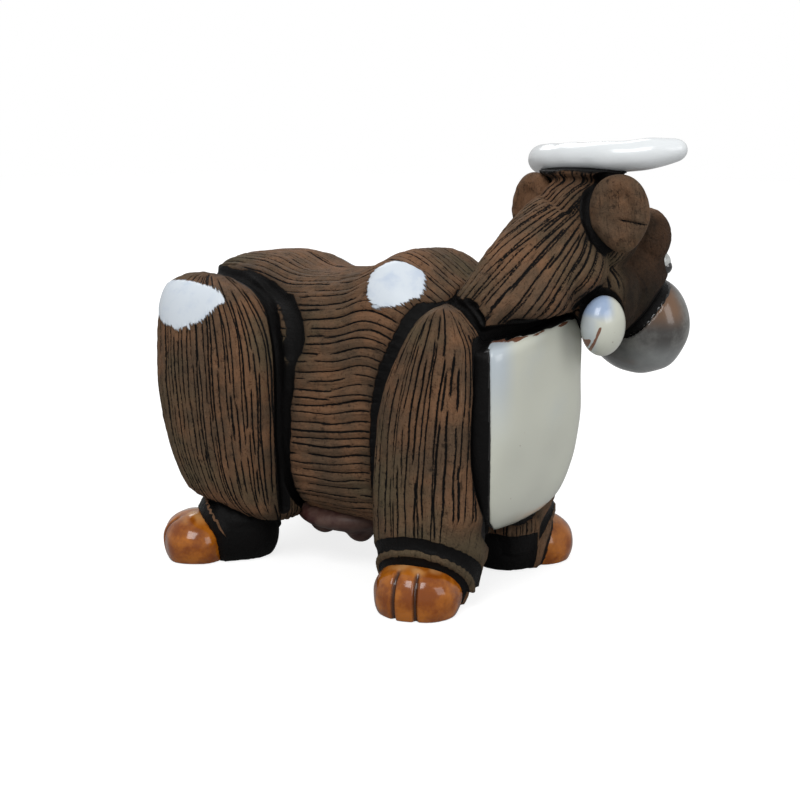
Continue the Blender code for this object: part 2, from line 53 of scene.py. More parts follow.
# The part's own sizes
WHEELBASE = 65.0
FRONT_TRACK = 42.5
REAR_TRACK = 48.0
HOOF_LENGTH = 21.0
HOOF_WIDTH = 20.0
HOOF_HEIGHT = 12.5
FRONT_TOE_REACH = 5.2
REAR_TOE_REACH = 6.6
FRONT_TOE_YAW = 68.0
REAR_TOE_YAW = 130.0
RUMP_HEIGHT = 78.5
SADDLE_HEIGHT = 75.5
WITHERS_HEIGHT = 82.0
BELLY_CLEARANCE = 12.5
UDDER_DROP = 5.5
TEAT_SIZE = 8.0
TRUNK_WIDTH = 51.0
RUMP_OVERHANG = 16.0
CHEST_OVERHANG = 13.0
THIGH_LENGTH = 43.0
THIGH_DEPTH = 32.0
THIGH_HEIGHT = 61.5
THIGH_BOTTOM = 12.0
THIGH_FORWARD = 3.0
THIGH_INSET = 5.5
THIGH_YAW = -8.0
SHOULDER_WIDTH = 28.0
SHOULDER_DEPTH = 23.0
SHOULDER_TOP = 71.0
SHOULDER_BOTTOM = 4.5
SHOULDER_INSET = 3.2
SHOULDER_YAW = 69.0
SHOULDER_LEAN = 3.9
BIB_WIDTH = 42.0
BIB_TOP = 65.5
BIB_BOTTOM = 14.0
BIB_DEPTH = 24.0
BIB_PROUD = 7.8
BIB_SIDE = -1.0
BIB_SLANT = 0.07
BIB_ROUNDNESS = 5.5
NECK_WIDTH = 31.0
HEAD_TURN = 80.0
HEAD_FORWARD = 18.0
HEAD_SIDE = 15.0
HEAD_HEIGHT = 90.5
HEAD_WIDTH = 25.0
HEAD_LENGTH = 26.2
HEAD_DEPTH = 25.0
FACE_DROP = 28.3
MUZZLE_REACH = 25.5
MUZZLE_WIDTH = 27.0
MUZZLE_LENGTH = 21.0
MUZZLE_HEIGHT = 25.4
EYE_SPACING = 15.0
BROW_SPACING = 13.0
EAR_LENGTH = 17.8
EAR_WIDTH = 13.7
EAR_THICKNESS = 5.5
EAR_LEAN = -9.0
RIGHT_EAR_FLARE = 30.0
LEFT_EAR_FLARE = -5.0
HORN_SPAN = 39.8
HORN_THICKNESS = 7.2
HORN_SWEEP = 10.0
HORN_RISE = 13.2
FRONT_X = WHEELBASE / 2
REAR_X = -WHEELBASE / 2
FRONT_Y = FRONT_TRACK / 2
REAR_Y = REAR_TRACK / 2

# Carving
COLUMN_STEP = 0.25
ROW_STEP = 1.15
FURROW_PITCH = 4.4
FURROW_WIDTH = 2.4
FURROW_DEPTH = 0.30
STROKE_LENGTH = (12.0, 42.0)
STROKE_WIDTH = (0.38, 0.70)
STROKE_DEPTH = (0.24, 0.48)
STROKE_TAPER = 3.5
STROKE_WANDER = 0.15
BURR_HEIGHT = 0.06
CHANNEL_DEPTH = 1.25
CHANNEL_RAGGEDNESS = 0.07
LUMP_HEIGHT = 0.10
BAND_DEPTH = 0.55
RIDGE_HEIGHT = 0.30
GLAZE_THICKNESS = 0.10

# Sizes and shifts of the looks, some of them other than in the part
BIB_FOOT_LIFT = 3.2
BIB_TOP_TILT = 2.0
NEAR_LEG_REACH = 1.8
FAR_LEG_PULL = 0.45
TOE_WIDENING = 0.035
EYE_RADIUS = 2.7
PUPIL_RADIUS = 1.9
CHEEK_SIZES = (4.6, 6.0, 7.1)
BIB_CORNER_SLOPE = 0.777

# Studio
WORLD_LEVEL = 0.50
FLOOR_GREY = 0.4
FLOOR_GLOW = 0.80
CAMERA_PLACE = (201.35, -247.34, 108.0)
CAMERA_DOWN = 11.75
CAMERA_TURN = 37.87
CAMERA_LENS = 56.25
CAMERA_SENSOR = 36.0

AXES = np.identity(3)


def rotation(yaw=0.0, pitch=0.0, roll=0.0):
    return np.array(Matrix.Rotation(radians(yaw), 3, "Z")
                    @ Matrix.Rotation(radians(pitch), 3, "Y")
                    @ Matrix.Rotation(radians(roll), 3, "X"))


def unit(vector):
    vector = np.asarray(vector, float)
    return vector / np.linalg.norm(vector)


def smooth(value):
    value = np.clip(value, 0.0, 1.0)
    return value * value * (3 - 2 * value)


def ring(centre, along, across, half_along, half_across, roundness, columns):
    """A rounded ring about centre, in the plane of the two unit vectors, evenly stepped."""
    angle = np.linspace(0, 2 * pi, 8 * columns + 1)
    a = np.sign(np.cos(angle)) * np.abs(np.cos(angle)) ** (2 / roundness) * half_along
    b = np.sign(np.sin(angle)) * np.abs(np.sin(angle)) ** (2 / roundness) * half_across
    fine = np.asarray(centre) + np.outer(a, along) + np.outer(b, across)
    way = np.append(0.0, np.cumsum(np.linalg.norm(np.diff(fine, axis=0), axis=1)))
    places = np.linspace(0, way[-1], columns, endpoint=False)
    return np.stack([np.interp(places, way, fine[:, axis]) for axis in range(3)], axis=1)


def spline(knots, places):
    """Points of a smooth curve through the knots, at places counted in knots."""
    padded = np.concatenate([knots[:1], knots, knots[-1:]])
    start = np.minimum(places.astype(int), len(knots) - 2)
    t = (places - start).reshape((-1,) + (1,) * (knots.ndim - 1))
    before, here, after, later = (padded[start + step] for step in range(4))
    return 0.5 * (2 * here + (after - before) * t
                  + (2 * before - 5 * here + 4 * after - later) * t ** 2
                  + (3 * here - 3 * after + later - before) * t ** 3)


class Form:
    """Points and faces of one mass, with each point's way around and along it in mm."""

    def __init__(self, points, faces, around=None, along=None, scale=None, whole=1.0):
        self.points = points
        self.faces = faces
        self.around = around
        self.along = along
        self.scale = scale
        self.whole = whole


def loft(knots, row_step, domes=(0.0, 0.0), dome_rows=(2, 2)):
    """Skin a stack of rings with even rows, and close both ends with low domes."""
    knots = np.asarray(knots)
    columns = knots.shape[1]
    fine_places = np.linspace(0, len(knots) - 1, 30 * len(knots))
    thinned = spline(knots[:, ::max(1, columns // 24)], fine_places)
    steps = np.linalg.norm(np.diff(thinned, axis=0), axis=2).mean(axis=1)
    way = np.append(0.0, np.cumsum(steps))
    count = max(4, round(way[-1] / row_step) + 1)
    rows = spline(knots, np.interp(np.linspace(0, way[-1], count), way, fine_places))
    stack = list(rows)
    along = list(np.linspace(0, way[-1], count))
    ends = ((0, 1, domes[0], dome_rows[0]), (-1, -2, domes[1], dome_rows[1]))
    for end, beyond, height, cap_rows in ends:
        middle = rows[end].mean(axis=0)
        out = unit(middle - rows[beyond].mean(axis=0))
        radius = np.linalg.norm(rows[end] - middle, axis=1).mean()
        for step in range(1, cap_rows):
            share = 1 - step / cap_rows
            cap = middle + (rows[end] - middle) * share + out * height * (1 - share ** 2)
            place = along[0] - radius / cap_rows if end == 0 else along[-1] + radius / cap_rows
            stack.insert(0, cap) if end == 0 else stack.append(cap)
            along.insert(0, place) if end == 0 else along.append(place)
        pole = middle + out * height
        if end == 0:
            first_pole = pole
        else:
            last_pole = pole
    grid = np.array(stack)
    lengths = np.linalg.norm(grid - np.roll(grid, -1, axis=1), axis=2).sum(axis=1)
    whole = lengths.max()
    number = np.arange(grid.shape[0] * columns).reshape(grid.shape[0], columns)
    after = np.roll(number, -1, axis=1)
    quads = np.stack([number[:-1], after[:-1], after[1:], number[1:]], axis=2).reshape(-1, 4)
    faces = quads.tolist()
    first, last = number.size, number.size + 1
    faces += [[first, b, a] for a, b in zip(number[0], after[0])]
    faces += [[last, a, b] for a, b in zip(number[-1], after[-1])]
    points = np.concatenate([grid.reshape(-1, 3), [first_pole, last_pole]])
    around = np.tile(np.arange(columns) * whole / columns, grid.shape[0])
    spread = np.repeat(lengths / whole, columns)
    return Form(points, faces, np.append(around, (0, 0)),
                np.append(np.repeat(along, columns), (along[0], along[-1])),
                np.append(spread, (0.01, 0.01)), whole)


def blob(centre, half_sizes, turn=AXES, roundness=2.0, fineness=4):
    """A ball stretched to its half sizes; a higher roundness makes it boxier."""
    ball = bmesh.new()
    bmesh.ops.create_icosphere(ball, subdivisions=fineness, radius=1.0)
    way = np.array([vertex.co.normalized() for vertex in ball.verts])
    faces = [[vertex.index for vertex in face.verts] for face in ball.faces]
    ball.free()
    reach = (np.abs(way) ** roundness).sum(axis=1) ** (-1 / roundness)
    local = way * reach[:, None] * np.asarray(half_sizes)
    return Form(local @ turn.T + np.asarray(centre), faces)


def mesh_of(name, points, faces):
    """A mesh whose faces look outwards, in the layout's millimetres."""
    mesh = bpy.data.meshes.new(name)
    mesh.from_pydata(points.tolist(), [], faces)
    shape = bmesh.new()
    shape.from_mesh(mesh)
    if shape.calc_volume(signed=True) < 0:
        bmesh.ops.reverse_faces(shape, faces=shape.faces[:])
        shape.to_mesh(mesh)
    shape.free()
    return mesh


def points_of(mesh):
    flat = np.empty(len(mesh.vertices) * 3)
    mesh.vertices.foreach_get("co", flat)
    return flat.reshape(-1, 3)


def normals_of(mesh):
    flat = np.empty(len(mesh.vertices) * 3, np.float32)
    mesh.vertex_normals.foreach_get("vector", flat)
    return flat.reshape(-1, 3).astype(float)


def fused(forms, voxel, softening):
    """One closed form made of several, with their joints softened."""
    points = np.concatenate([form.points for form in forms])
    faces = []
    start = 0
    for form in forms:
        mesh = mesh_of("mass", form.points, form.faces)
        faces += [[start + index for index in face.vertices] for face in mesh.polygons]
        start += len(form.points)
        bpy.data.meshes.remove(mesh)
    mesh = bpy.data.meshes.new("masses")
    mesh.from_pydata(points.tolist(), [], faces)
    holder = bpy.data.objects.new("masses", mesh)
    bpy.context.scene.collection.objects.link(holder)
    remesh = holder.modifiers.new("fuse", "REMESH")
    remesh.mode = "VOXEL"
    remesh.voxel_size = voxel
    soften = holder.modifiers.new("soften", "SMOOTH")
    soften.factor = 0.5
    soften.iterations = softening
    fine = bpy.data.meshes.new_from_object(holder.evaluated_get(bpy.context.evaluated_depsgraph_get()))
    bpy.data.objects.remove(holder)
    return Form(points_of(fine), [list(face.vertices) for face in fine.polygons])


def waves(points, size, seed, count=14):
    """Smooth lumps between about -1 and 1, of about the given size in mm."""
    rng = np.random.default_rng(seed)
    total = np.zeros(len(points))
    for _ in range(count):
        way = unit(rng.normal(size=3)) * rng.uniform(0.6, 1.5) * 2 * pi / size
        total += np.sin(points @ way + rng.uniform(0, 2 * pi))
    return total / np.sqrt(count)


# Masses of the body, with the rump and the foot of the shield fuller than the part has them

def columns_for(length):
    return int(length / COLUMN_STEP)


def trunk(columns, row_step):
    """Barrel of the body, from the rump to the chest."""
    rump_end = REAR_X - RUMP_OVERHANG
    chest_end = FRONT_X + CHEST_OVERHANG
    half = TRUNK_WIDTH / 2
    belly = BELLY_CLEARANCE
    stations = [
        (rump_end, 0.62 * half, belly + 22, RUMP_HEIGHT - 14),
        (rump_end + 4, 0.84 * half, belly + 13, RUMP_HEIGHT - 4.5),
        (REAR_X - 6, 0.96 * half, belly + 6, RUMP_HEIGHT),
        (REAR_X + 7, half, belly + 1, RUMP_HEIGHT + 0.4),
        (-13, half, belly, SADDLE_HEIGHT),
        (6, half, belly, 0.5 * (SADDLE_HEIGHT + WITHERS_HEIGHT) - 1),
        (18.5, 0.97 * half, belly, WITHERS_HEIGHT),
        (33, 0.92 * half, belly + 1, WITHERS_HEIGHT - 8.5),
        (chest_end - 4, 0.84 * half, belly + 3, WITHERS_HEIGHT - 14),
        (chest_end, 0.70 * half, belly + 8, WITHERS_HEIGHT - 20),
    ]
    rings = [ring((x, 0, (low + high) / 2), AXES[1], AXES[2], half_width, (high - low) / 2, 3.0, columns)
             for x, half_width, low, high in stations]
    return loft(rings, row_step, domes=(1.2, 0.5), dome_rows=(12, 3))


def thigh(side, columns, row_step):
    """Boxy hind quarter on one side, -1 right and +1 left."""
    turn = rotation(yaw=side * THIGH_YAW)
    levels = [
        (0.00, 0.44, 8.0),
        (0.04, 0.66, 5.5),
        (0.12, 0.81, 2.8),
        (0.30, 0.94, 0.8),
        (0.52, 1.00, 0.0),
        (0.68, 1.00, -0.4),
        (0.80, 0.94, -1.6),
        (0.90, 0.82, -3.8),
        (0.965, 0.65, -6.0),
        (1.00, 0.40, -7.8),
    ]
    rings = []
    for share, size, forward in levels:
        centre = (REAR_X + THIGH_FORWARD + forward, side * (REAR_Y - THIGH_INSET),
                  THIGH_BOTTOM + share * THIGH_HEIGHT)
        rings.append(ring(centre, turn @ AXES[0], turn @ AXES[1], size * THIGH_LENGTH / 2,
                          size * THIGH_DEPTH / 2, 2.8, columns))
    return loft(rings, row_step, domes=(0.3, 0.7), dome_rows=(3, 9))


def shoulder(side, columns, row_step):
    """Teardrop front leg and shoulder on one side, from the ankle to its pointed top."""
    out = np.array((cos(radians(SHOULDER_YAW)), side * sin(radians(SHOULDER_YAW)), 0))
    along = np.array((out[1], -out[0], 0))
    levels = [
        (0.0, 0.0, 0.86),
        (0.17, 0.0, 1.00),
        (0.38, 0.0, 1.00),
        (0.60, 0.20, 0.96),
        (0.75, 0.50, 0.85),
        (0.865, 0.82, 0.68),
        (0.94, 0.95, 0.49),
        (0.985, 1.0, 0.28),
        (1.0, 1.0, 0.10),
    ]
    rings = []
    for share, lean, width in levels:
        centre = (FRONT_X + lean * SHOULDER_LEAN, side * (FRONT_Y - SHOULDER_INSET),
                  SHOULDER_BOTTOM + share * (SHOULDER_TOP - SHOULDER_BOTTOM))
        depth = (0.45 + 0.55 * width) * SHOULDER_DEPTH / 2
        rings.append(ring(centre, along, out, width * SHOULDER_WIDTH / 2, depth, 2.2, columns))
    return loft(rings, row_step, domes=(0.2, 0.4), dome_rows=(3, 3))


def bib(columns, row_step):
    """Shield on the chest, with a slanted top."""
    front = FRONT_X + CHEST_OVERHANG + BIB_PROUD
    levels = [
        (0.00, 0.46, 0.34),
        (0.03, 0.62, 0.47),
        (0.10, 0.77, 0.62),
        (0.22, 0.88, 0.75),
        (0.37, 0.97, 0.88),
        (0.54, 1.00, 0.98),
        (0.75, 0.99, 0.98),
        (0.94, 0.97, 0.96),
        (0.985, 0.95, 0.92),
        (1.00, 0.91, 0.85),
    ]
    rings = []
    for share, width, depth in levels:
        centre = (front - BIB_DEPTH / 2, BIB_SIDE, BIB_BOTTOM + share * (BIB_TOP - BIB_BOTTOM))
        rings.append(ring(centre, AXES[0], (0, 1, share * BIB_SLANT), depth * BIB_DEPTH / 2,
                          width * BIB_WIDTH / 2, BIB_ROUNDNESS, columns))
    return loft(rings, row_step, domes=(0.3, 0.5), dome_rows=(4, 8))


def head_point(right_by, forward_by, up_by):
    forward = np.array((cos(radians(HEAD_TURN)), sin(radians(HEAD_TURN)), 0))
    right = np.array((sin(radians(HEAD_TURN)), -cos(radians(HEAD_TURN)), 0))
    middle = np.array((FRONT_X + HEAD_FORWARD, HEAD_SIDE, HEAD_HEIGHT))
    return middle + right * right_by + forward * forward_by + AXES[2] * up_by


HEAD_AXES = rotation(yaw=HEAD_TURN - 90)


def neck(columns, row_step):
    """Thick neck from the withers and chest up to the back of the head."""
    nape = head_point(0, -1, 1)
    half = NECK_WIDTH / 2
    base = np.array((FRONT_X, 0, 58))
    middle = np.array((FRONT_X + 13.8, 3.4, 76.0))
    sections = [
        (base, (1, 0, -0.05), 13.0, half + 4.5),
        (base + (middle - base) * 0.58, (1, 0, -0.25), 10.5, half + 3),
        (middle, (1, 0.1, -0.67), 11.5, half + 0.5),
        ((middle + nape) / 2, (1, 0.3, -0.70), 11.2, half - 1.8),
        (nape, (1, 0.4, -0.5), 9.0, half - 5.5),
    ]
    rings = []
    for centre, deep, half_deep, half_wide in sections:
        along = unit(deep)
        across = unit(np.cross(AXES[2], along))
        rings.append(ring(centre, along, across, half_deep, half_wide, 2.6, columns))
    return loft(rings, row_step)


def head_masses():
    """Skull, face, jaw, throat, horn base and brows of the turned head, without the muzzle."""
    half_width = HEAD_WIDTH / 2
    masses = [
        blob(head_point(0, 3.9, -2), (half_width, HEAD_LENGTH / 2, HEAD_DEPTH / 2), HEAD_AXES, 2.3),
        blob(head_point(0, 18.5, -16.5), (half_width - 1.8, 10.8, 14.5), HEAD_AXES, 2.3),
        blob(head_point(0, 7, -19.5), (half_width - 1.3, 11.5, 11.2), HEAD_AXES, 2.2),
        blob(head_point(1.5, -6, -11.5), (11, 10, 10), HEAD_AXES),
        blob(head_point(0, 1.5, HORN_RISE - 3), (13.8, 7.2, 3), HEAD_AXES),
    ]
    for side in (-1, 1):
        masses.append(blob(head_point(side * BROW_SPACING / 2, 19.2, -5.8), (5.8, 5.6, 7.2)))
        masses.append(blob(head_point(side * 10.6, -0.6, 7.4), (2.6, 2.6, 2.6)))
    return masses


def muzzle():
    return blob(head_point(0, MUZZLE_REACH, -FACE_DROP),
                (MUZZLE_WIDTH / 2, MUZZLE_LENGTH / 2, MUZZLE_HEIGHT / 2), HEAD_AXES, 2.1, fineness=6)


def cheek(side):
    return blob(head_point(side * (HEAD_WIDTH / 2 - 1.2), -2.8, -25), CHEEK_SIZES, HEAD_AXES, fineness=6)


def horns():
    """Flat crescent lying across the poll, with its tips swept forward."""
    half = HORN_SPAN / 2
    knots = np.array([
        (-1.0, 1.0, 0.78, -0.4),
        (-0.80, 0.62, 1.00, -0.3),
        (-0.45, 0.22, 1.08, 0.0),
        (0.0, 0.08, 1.12, 0.2),
        (0.45, 0.22, 1.08, 0.5),
        (0.80, 0.62, 0.98, 1.2),
        (1.0, 1.0, 0.76, 2.0),
    ])
    masses = []
    for out, sweep, size, up_by in spline(knots, np.linspace(0, len(knots) - 1, 49)):
        thick = HORN_THICKNESS / 2
        half_sizes = (thick * 1.15 * size, thick * 1.15 * size, thick * min(size, 1.0))
        masses.append(blob(head_point(out * half, sweep * HORN_SWEEP, HORN_RISE + up_by), half_sizes))
    return masses


def hoof_places():
    """Centre, side, toe yaw, toe reach and ankle's forward offset of each hoof."""
    places = {}
    for side, name in ((-1, "right"), (1, "left")):
        places["front_" + name] = (FRONT_X, side * FRONT_Y, side, FRONT_TOE_YAW, FRONT_TOE_REACH, -1.0)
        places["rear_" + name] = (REAR_X, side * REAR_Y, side, REAR_TOE_YAW, REAR_TOE_REACH, 2.2)
    return places


def toe_centre(place):
    x, y, side, yaw, reach, _ = place
    return np.array((x, y, 4.0)) + rotation(yaw=side * yaw) @ AXES[0] * reach


def toe(place, fineness=6):
    half_sizes = (HOOF_LENGTH / 2 - 2, HOOF_WIDTH / 2, HOOF_HEIGHT - 4.5)
    return blob(toe_centre(place), half_sizes, rotation(yaw=place[2] * place[3]), 2.2, fineness)


def ankle(place, fineness=6):
    x, y, side, yaw, _, forward = place
    return blob((x + forward, y - side * 3, 6.5), (HOOF_LENGTH / 2 + 1.5, HOOF_WIDTH / 2 + 1, 10.5),
                rotation(yaw=side * yaw), 2.4, fineness)


def udder_masses():
    masses = [blob((-3, 0, BELLY_CLEARANCE + 0.5), (18, 19, UDDER_DROP))]
    for x in (-9, 3):
        for side in (-1, 1):
            masses.append(blob((x, side * 9, BELLY_CLEARANCE + 3.3 - UDDER_DROP), (TEAT_SIZE / 2,) * 3))
    return masses


def tail_masses():
    """Tail lying down the rump in low relief, with a thicker tuft at its end."""
    masses = []
    for share in np.linspace(0, 1, 30):
        height = RUMP_HEIGHT - 6 - share * 46
        bow = -1.8 * sin(pi * share)
        size = 2.8 + 2.2 * float(smooth((share - 0.68) / 0.12))
        masses.append(blob((REAR_X - RUMP_OVERHANG + 3.5 * (1 - share) ** 2 + bow, 0, height),
                           (size, size, size + 1)))
    return masses


# Carved lines

def strokes(seed, whole, start, end, between=1):
    """Hand-carved lines: place round the mass, start, end, width, depth, phase and rank.

    One lane of lines runs in each broad furrow of the part, and others run between them.
    """
    rng = np.random.default_rng(seed)
    count = (between + 1) * max(3, round(whole / FURROW_PITCH))
    lines = []
    for lane in range(count):
        place = lane * whole / count + rng.normal(0, 0.12 + 0.20 * (lane % (between + 1) > 0))
        rank = rng.uniform(0, 1)
        begin = start - rng.uniform(0, STROKE_LENGTH[1])
        while begin < end:
            length = rng.uniform(*STROKE_LENGTH)
            lines.append((place + rng.normal(0, 0.22), begin, begin + length,
                          rng.uniform(*STROKE_WIDTH), rng.uniform(*STROKE_DEPTH),
                          rng.uniform(0, 2 * pi), rank))
            begin += length + rng.uniform(-5.0, 1.5)
    return np.array(lines)


def carve(form, lines):
    """How deep the carved lines are at each point, and how much black pigment they hold."""
    depth = np.zeros(len(form.points))
    burr = np.zeros(len(form.points))
    pigment = np.zeros(len(form.points))
    order = np.argsort(form.along)
    for block in np.array_split(order, max(1, len(order) // 2500)):
        along = form.along[block]
        near = lines[(lines[:, 1] < along.max()) & (lines[:, 2] > along.min())]
        if not len(near):
            continue
        place, start, end, width, deep, phase, rank = near.T
        here = along[:, None]
        wander = STROKE_WANDER * np.sin(here / 5.3 + phase)
        wander = wander + 0.5 * STROKE_WANDER * np.sin(here / 2.1 + 2 * phase)
        across = form.around[block][:, None] - place - wander
        across = np.abs((across + form.whole / 2) % form.whole - form.whole / 2)
        scale = form.scale[block][:, None]
        across = across * scale
        taper = smooth((here - start) / STROKE_TAPER) * smooth((end - here) / STROKE_TAPER)
        taper = taper * smooth((1.25 * scale - rank) * 6)
        ratio = 2 * across / width
        groove = np.clip(1 - ratio ** 2, 0, 1) * deep * taper
        rim = np.clip(1 - np.abs(ratio - 1.35) / 0.45, 0, 1) * taper
        depth[block] = groove.max(axis=1)
        burr[block] = rim.max(axis=1)
        ink = np.clip(1.25 - ratio, 0, 1) * np.clip(taper * 1.3, 0, 1) * np.clip(deep / 0.30, 0.3, 1)
        pigment[block] = ink.max(axis=1)
    furrows = max(3, round(form.whole / FURROW_PITCH))
    step = form.whole / furrows
    off = np.abs((form.around + step / 2) % step - step / 2) * form.scale
    broad = FURROW_DEPTH * np.clip(1 - (2 * off / FURROW_WIDTH) ** 2, 0, 1) * smooth(2.5 * form.scale - 0.6)
    return depth + broad - BURR_HEIGHT * burr * (depth < 0.02), pigment


def nearness(points, neighbours):
    """How near each point is to its neighbours: 1 on them, 0 at their reach, -2 far off."""
    near = np.full(len(points), -2.0)
    for tree, reach in neighbours:
        for index, point in enumerate(points):
            spot = Vector(point)
            place, normal, _, distance = tree.find_nearest(spot, 3 * reach)
            if place is None:
                continue
            signed = distance if (spot - place).dot(normal) >= 0 else -distance
            near[index] = max(near[index], 1 - signed / reach)
    return near


def along_paths(points, paths):
    """How near each point is to the given lines, on the same scale."""
    near = np.full(len(points), -2.0)
    for knots, reach in paths:
        line = spline(np.array(knots), np.linspace(0, len(knots) - 1, 16 * len(knots)))
        for block in np.array_split(np.arange(len(points)), 1 + len(points) // 4000):
            gaps = np.linalg.norm(points[block][:, None] - line[None], axis=2).min(axis=1)
            near[block] = np.maximum(near[block], 1 - gaps / reach)
    return near


def channel_paths():
    """Broad black channels round each thigh and shoulder, and between the shield and the neck, with black
    painted shade on the upper front of each thigh.
    """
    front = REAR_X + THIGH_FORWARD + THIGH_LENGTH / 2
    flank = TRUNK_WIDTH / 2 + 1.5
    hip = THIGH_BOTTOM + THIGH_HEIGHT
    chest = FRONT_X + CHEST_OVERHANG + BIB_PROUD
    half = BIB_WIDTH / 2
    paths = [([(chest - 5.5, -half + 1.5, BIB_TOP - 0.5), (chest - 3, -half + 7, BIB_TOP + 0.8),
               (chest - 1.5, 0, BIB_TOP + 2.3), (chest - 1.5, half - 11, BIB_TOP + 3.5),
               (chest - 4, half - 4, BIB_TOP + 4.5)], 2.2)]
    for side in (-1, 1):
        thigh_edge = [
            (front - 2.5, flank - 4.0, THIGH_BOTTOM + 4), (front - 0.7, flank - 2.0, 29),
            (front + 0.8, flank - 1.8, 43), (front + 2.8, flank - 2.8, hip - 20),
            (front + 4.4, flank - 2.5, hip - 13), (front + 0.7, flank - 5, hip - 7.2),
            (front - 10.1, flank - 8.5, hip - 2), (front - 20.7, flank - 10.5, hip),
            (front - 30.0, flank - 13, hip - 0.5),
        ]
        shoulder_rear = [
            (FRONT_X - 12.6, FRONT_Y + 6.2, 12), (FRONT_X - 12.6, FRONT_Y + 5.2, 27),
            (FRONT_X - 12.2, FRONT_Y + 3.9, 36.5), (FRONT_X - 11.4, FRONT_Y + 3, 46.6),
            (FRONT_X - 10.2, FRONT_Y + 2.3, 53.8), (FRONT_X - 6.6, FRONT_Y + 1.3, 63),
            (FRONT_X - 3.4, FRONT_Y - 1.8, SHOULDER_TOP - 1.5),
            (FRONT_X + 0.5, FRONT_Y - 4.2, SHOULDER_TOP + 1.8),
            (FRONT_X + 5.5, FRONT_Y - 4.8, SHOULDER_TOP + 2.0),
            (FRONT_X + 9.5, FRONT_Y - 5, SHOULDER_TOP),
        ]
        shoulder_front = [
            (FRONT_X + 9.5, FRONT_Y - 5, SHOULDER_TOP),
            (FRONT_X + 12.6, FRONT_Y - 4.8, SHOULDER_TOP - 3.5),
            (FRONT_X + 15.3, FRONT_Y - 2.8, 60), (FRONT_X + 16.8, FRONT_Y - 1.6, 52),
            (FRONT_X + 17.6, FRONT_Y - 1, 42), (FRONT_X + 17.3, FRONT_Y - 1.6, 32.7),
            (FRONT_X + 15.8, FRONT_Y - 3.8, 22),
        ]
        # Black painted shade on the upper front slope of the thigh below the hip, made like a channel
        hollow = [
            (front - 3, flank - 6.5, hip - 4.5), (front + 1.5, flank - 4, hip - 10),
            (front + 2.2, flank - 3, hip - 17),
        ]
        reaches = ((thigh_edge, 2.1), (hollow, 2.6), (shoulder_rear, 1.9), (shoulder_front, 1.3))
        for knots, reach in reaches:
            paths.append(([(x, side * y, z) for x, y, z in knots], reach))
    return paths


def tree_of(form):
    mesh = mesh_of("surface", form.points, form.faces)
    shape = bmesh.new()
    shape.from_mesh(mesh)
    tree = BVHTree.FromBMesh(shape)
    shape.free()
    bpy.data.meshes.remove(mesh)
    return tree


# Pieces

def finish_piece(name, form, material, attributes=None, slipped=None):
    """Make the piece in the frame, with its attributes and material, and hand it to the body.

    Faces that lie wholly where it is slipped take the clay's matte black.
    """
    points = (form.points + TO_FRAME) * MM
    points[:, 2] = np.maximum(points[:, 2], 0.0)
    mesh = mesh_of(name, points, form.faces)
    for label, values in (attributes or {}).items():
        kind, part = ("FLOAT_VECTOR", "vector") if values.ndim == 2 else ("FLOAT", "value")
        layer = mesh.attributes.new(label, kind, "POINT")
        layer.data.foreach_set(part, values.astype(np.float32).ravel())
    mesh.shade_smooth()
    mesh.materials.append(material)
    if slipped is not None:
        mesh.materials.append(CLAY)
        for face in mesh.polygons:
            face.material_index = int(np.min(slipped[list(face.vertices)]) > 0.95)
    piece = bpy.data.objects.new(name, mesh)
    bpy.context.scene.collection.objects.link(piece)
    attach(piece, BODY)
    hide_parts(NODE)
    return piece


def displaced(form, offset):
    """The form with each point moved by its offset along the surface's own normal."""
    mesh = mesh_of("surface", form.points, form.faces)
    normals = normals_of(mesh)
    bpy.data.meshes.remove(mesh)
    return Form(form.points + normals * offset[:, None], form.faces, form.around, form.along,
                form.scale, form.whole)


def flow_of(form):
    """Seamless coordinates in mm that run with the carved lines."""
    angle = 2 * pi * form.around / form.whole
    radius = form.whole / (2 * pi)
    return np.stack([radius * np.cos(angle), radius * np.sin(angle), form.along], axis=1)


def patch_edges(corners, facing):
    """Planes along the sides of a patch: outward direction and place, in the layout."""
    corners = np.array(corners)
    middle = corners.mean(axis=0)
    edges = []
    for start, end in zip(corners, np.roll(corners, -1, axis=0)):
        out = unit(np.cross(facing, end - start))
        if out.dot(start - middle) < 0:
            out = -out
        edges.append((out, out.dot(start)))
    return edges


def patch_cover(points):
    """How much of each white glaze patch covers each point, from 0 to 1."""
    cover = np.zeros(len(points))
    for corners, facing in PATCHES:
        beyond = np.max([points @ out - place for out, place in patch_edges(corners, facing)], axis=0)
        depth = np.abs((points - np.mean(corners, axis=0)) @ unit(facing))
        cover = np.maximum(cover, smooth((0.3 - beyond) / 0.8) * (depth < PATCH_DEPTH))
    return cover


def band_field(points):
    """Black bands and the clay ridge between them, arched over each toe cap."""
    black = np.zeros(len(points))
    ridge = np.zeros(len(points))
    for name, place in hoof_places().items():
        turn = rotation(yaw=place[2] * place[3])
        local = (points - toe_centre(place)) @ turn
        half_sizes = np.array((HOOF_LENGTH / 2 - 2, HOOF_WIDTH / 2, HOOF_HEIGHT - 4.5))
        ratio = np.linalg.norm(local / half_sizes, axis=1)
        away = (ratio - 1) * np.linalg.norm(local, axis=1) / np.maximum(ratio, 0.01)
        front = smooth((local[:, 0] + 9.0) / 4.0)
        first = smooth((2.95 - away) / 1.2)
        middle = smooth(1.05 - np.abs(away - 3.3))
        second = smooth((2.1 - np.abs(away - 5.4)) / 1.1)
        inner = smooth((-6.0 - local[:, 0]) / 3.0) * smooth((11.0 - points[:, 2]) / 1.5) * (away < 14)
        if name.startswith("rear"):
            middle = 0.9 * smooth(1.3 - np.abs(away - 3.6) / 0.4)
            second = smooth((0.8 - np.abs(away - 4.8)) / 0.6)
        black = np.maximum(black, np.maximum(np.maximum(first, second) * front, inner))
        ridge = np.maximum(ridge, middle * front)
    return black * (1 - ridge), ridge


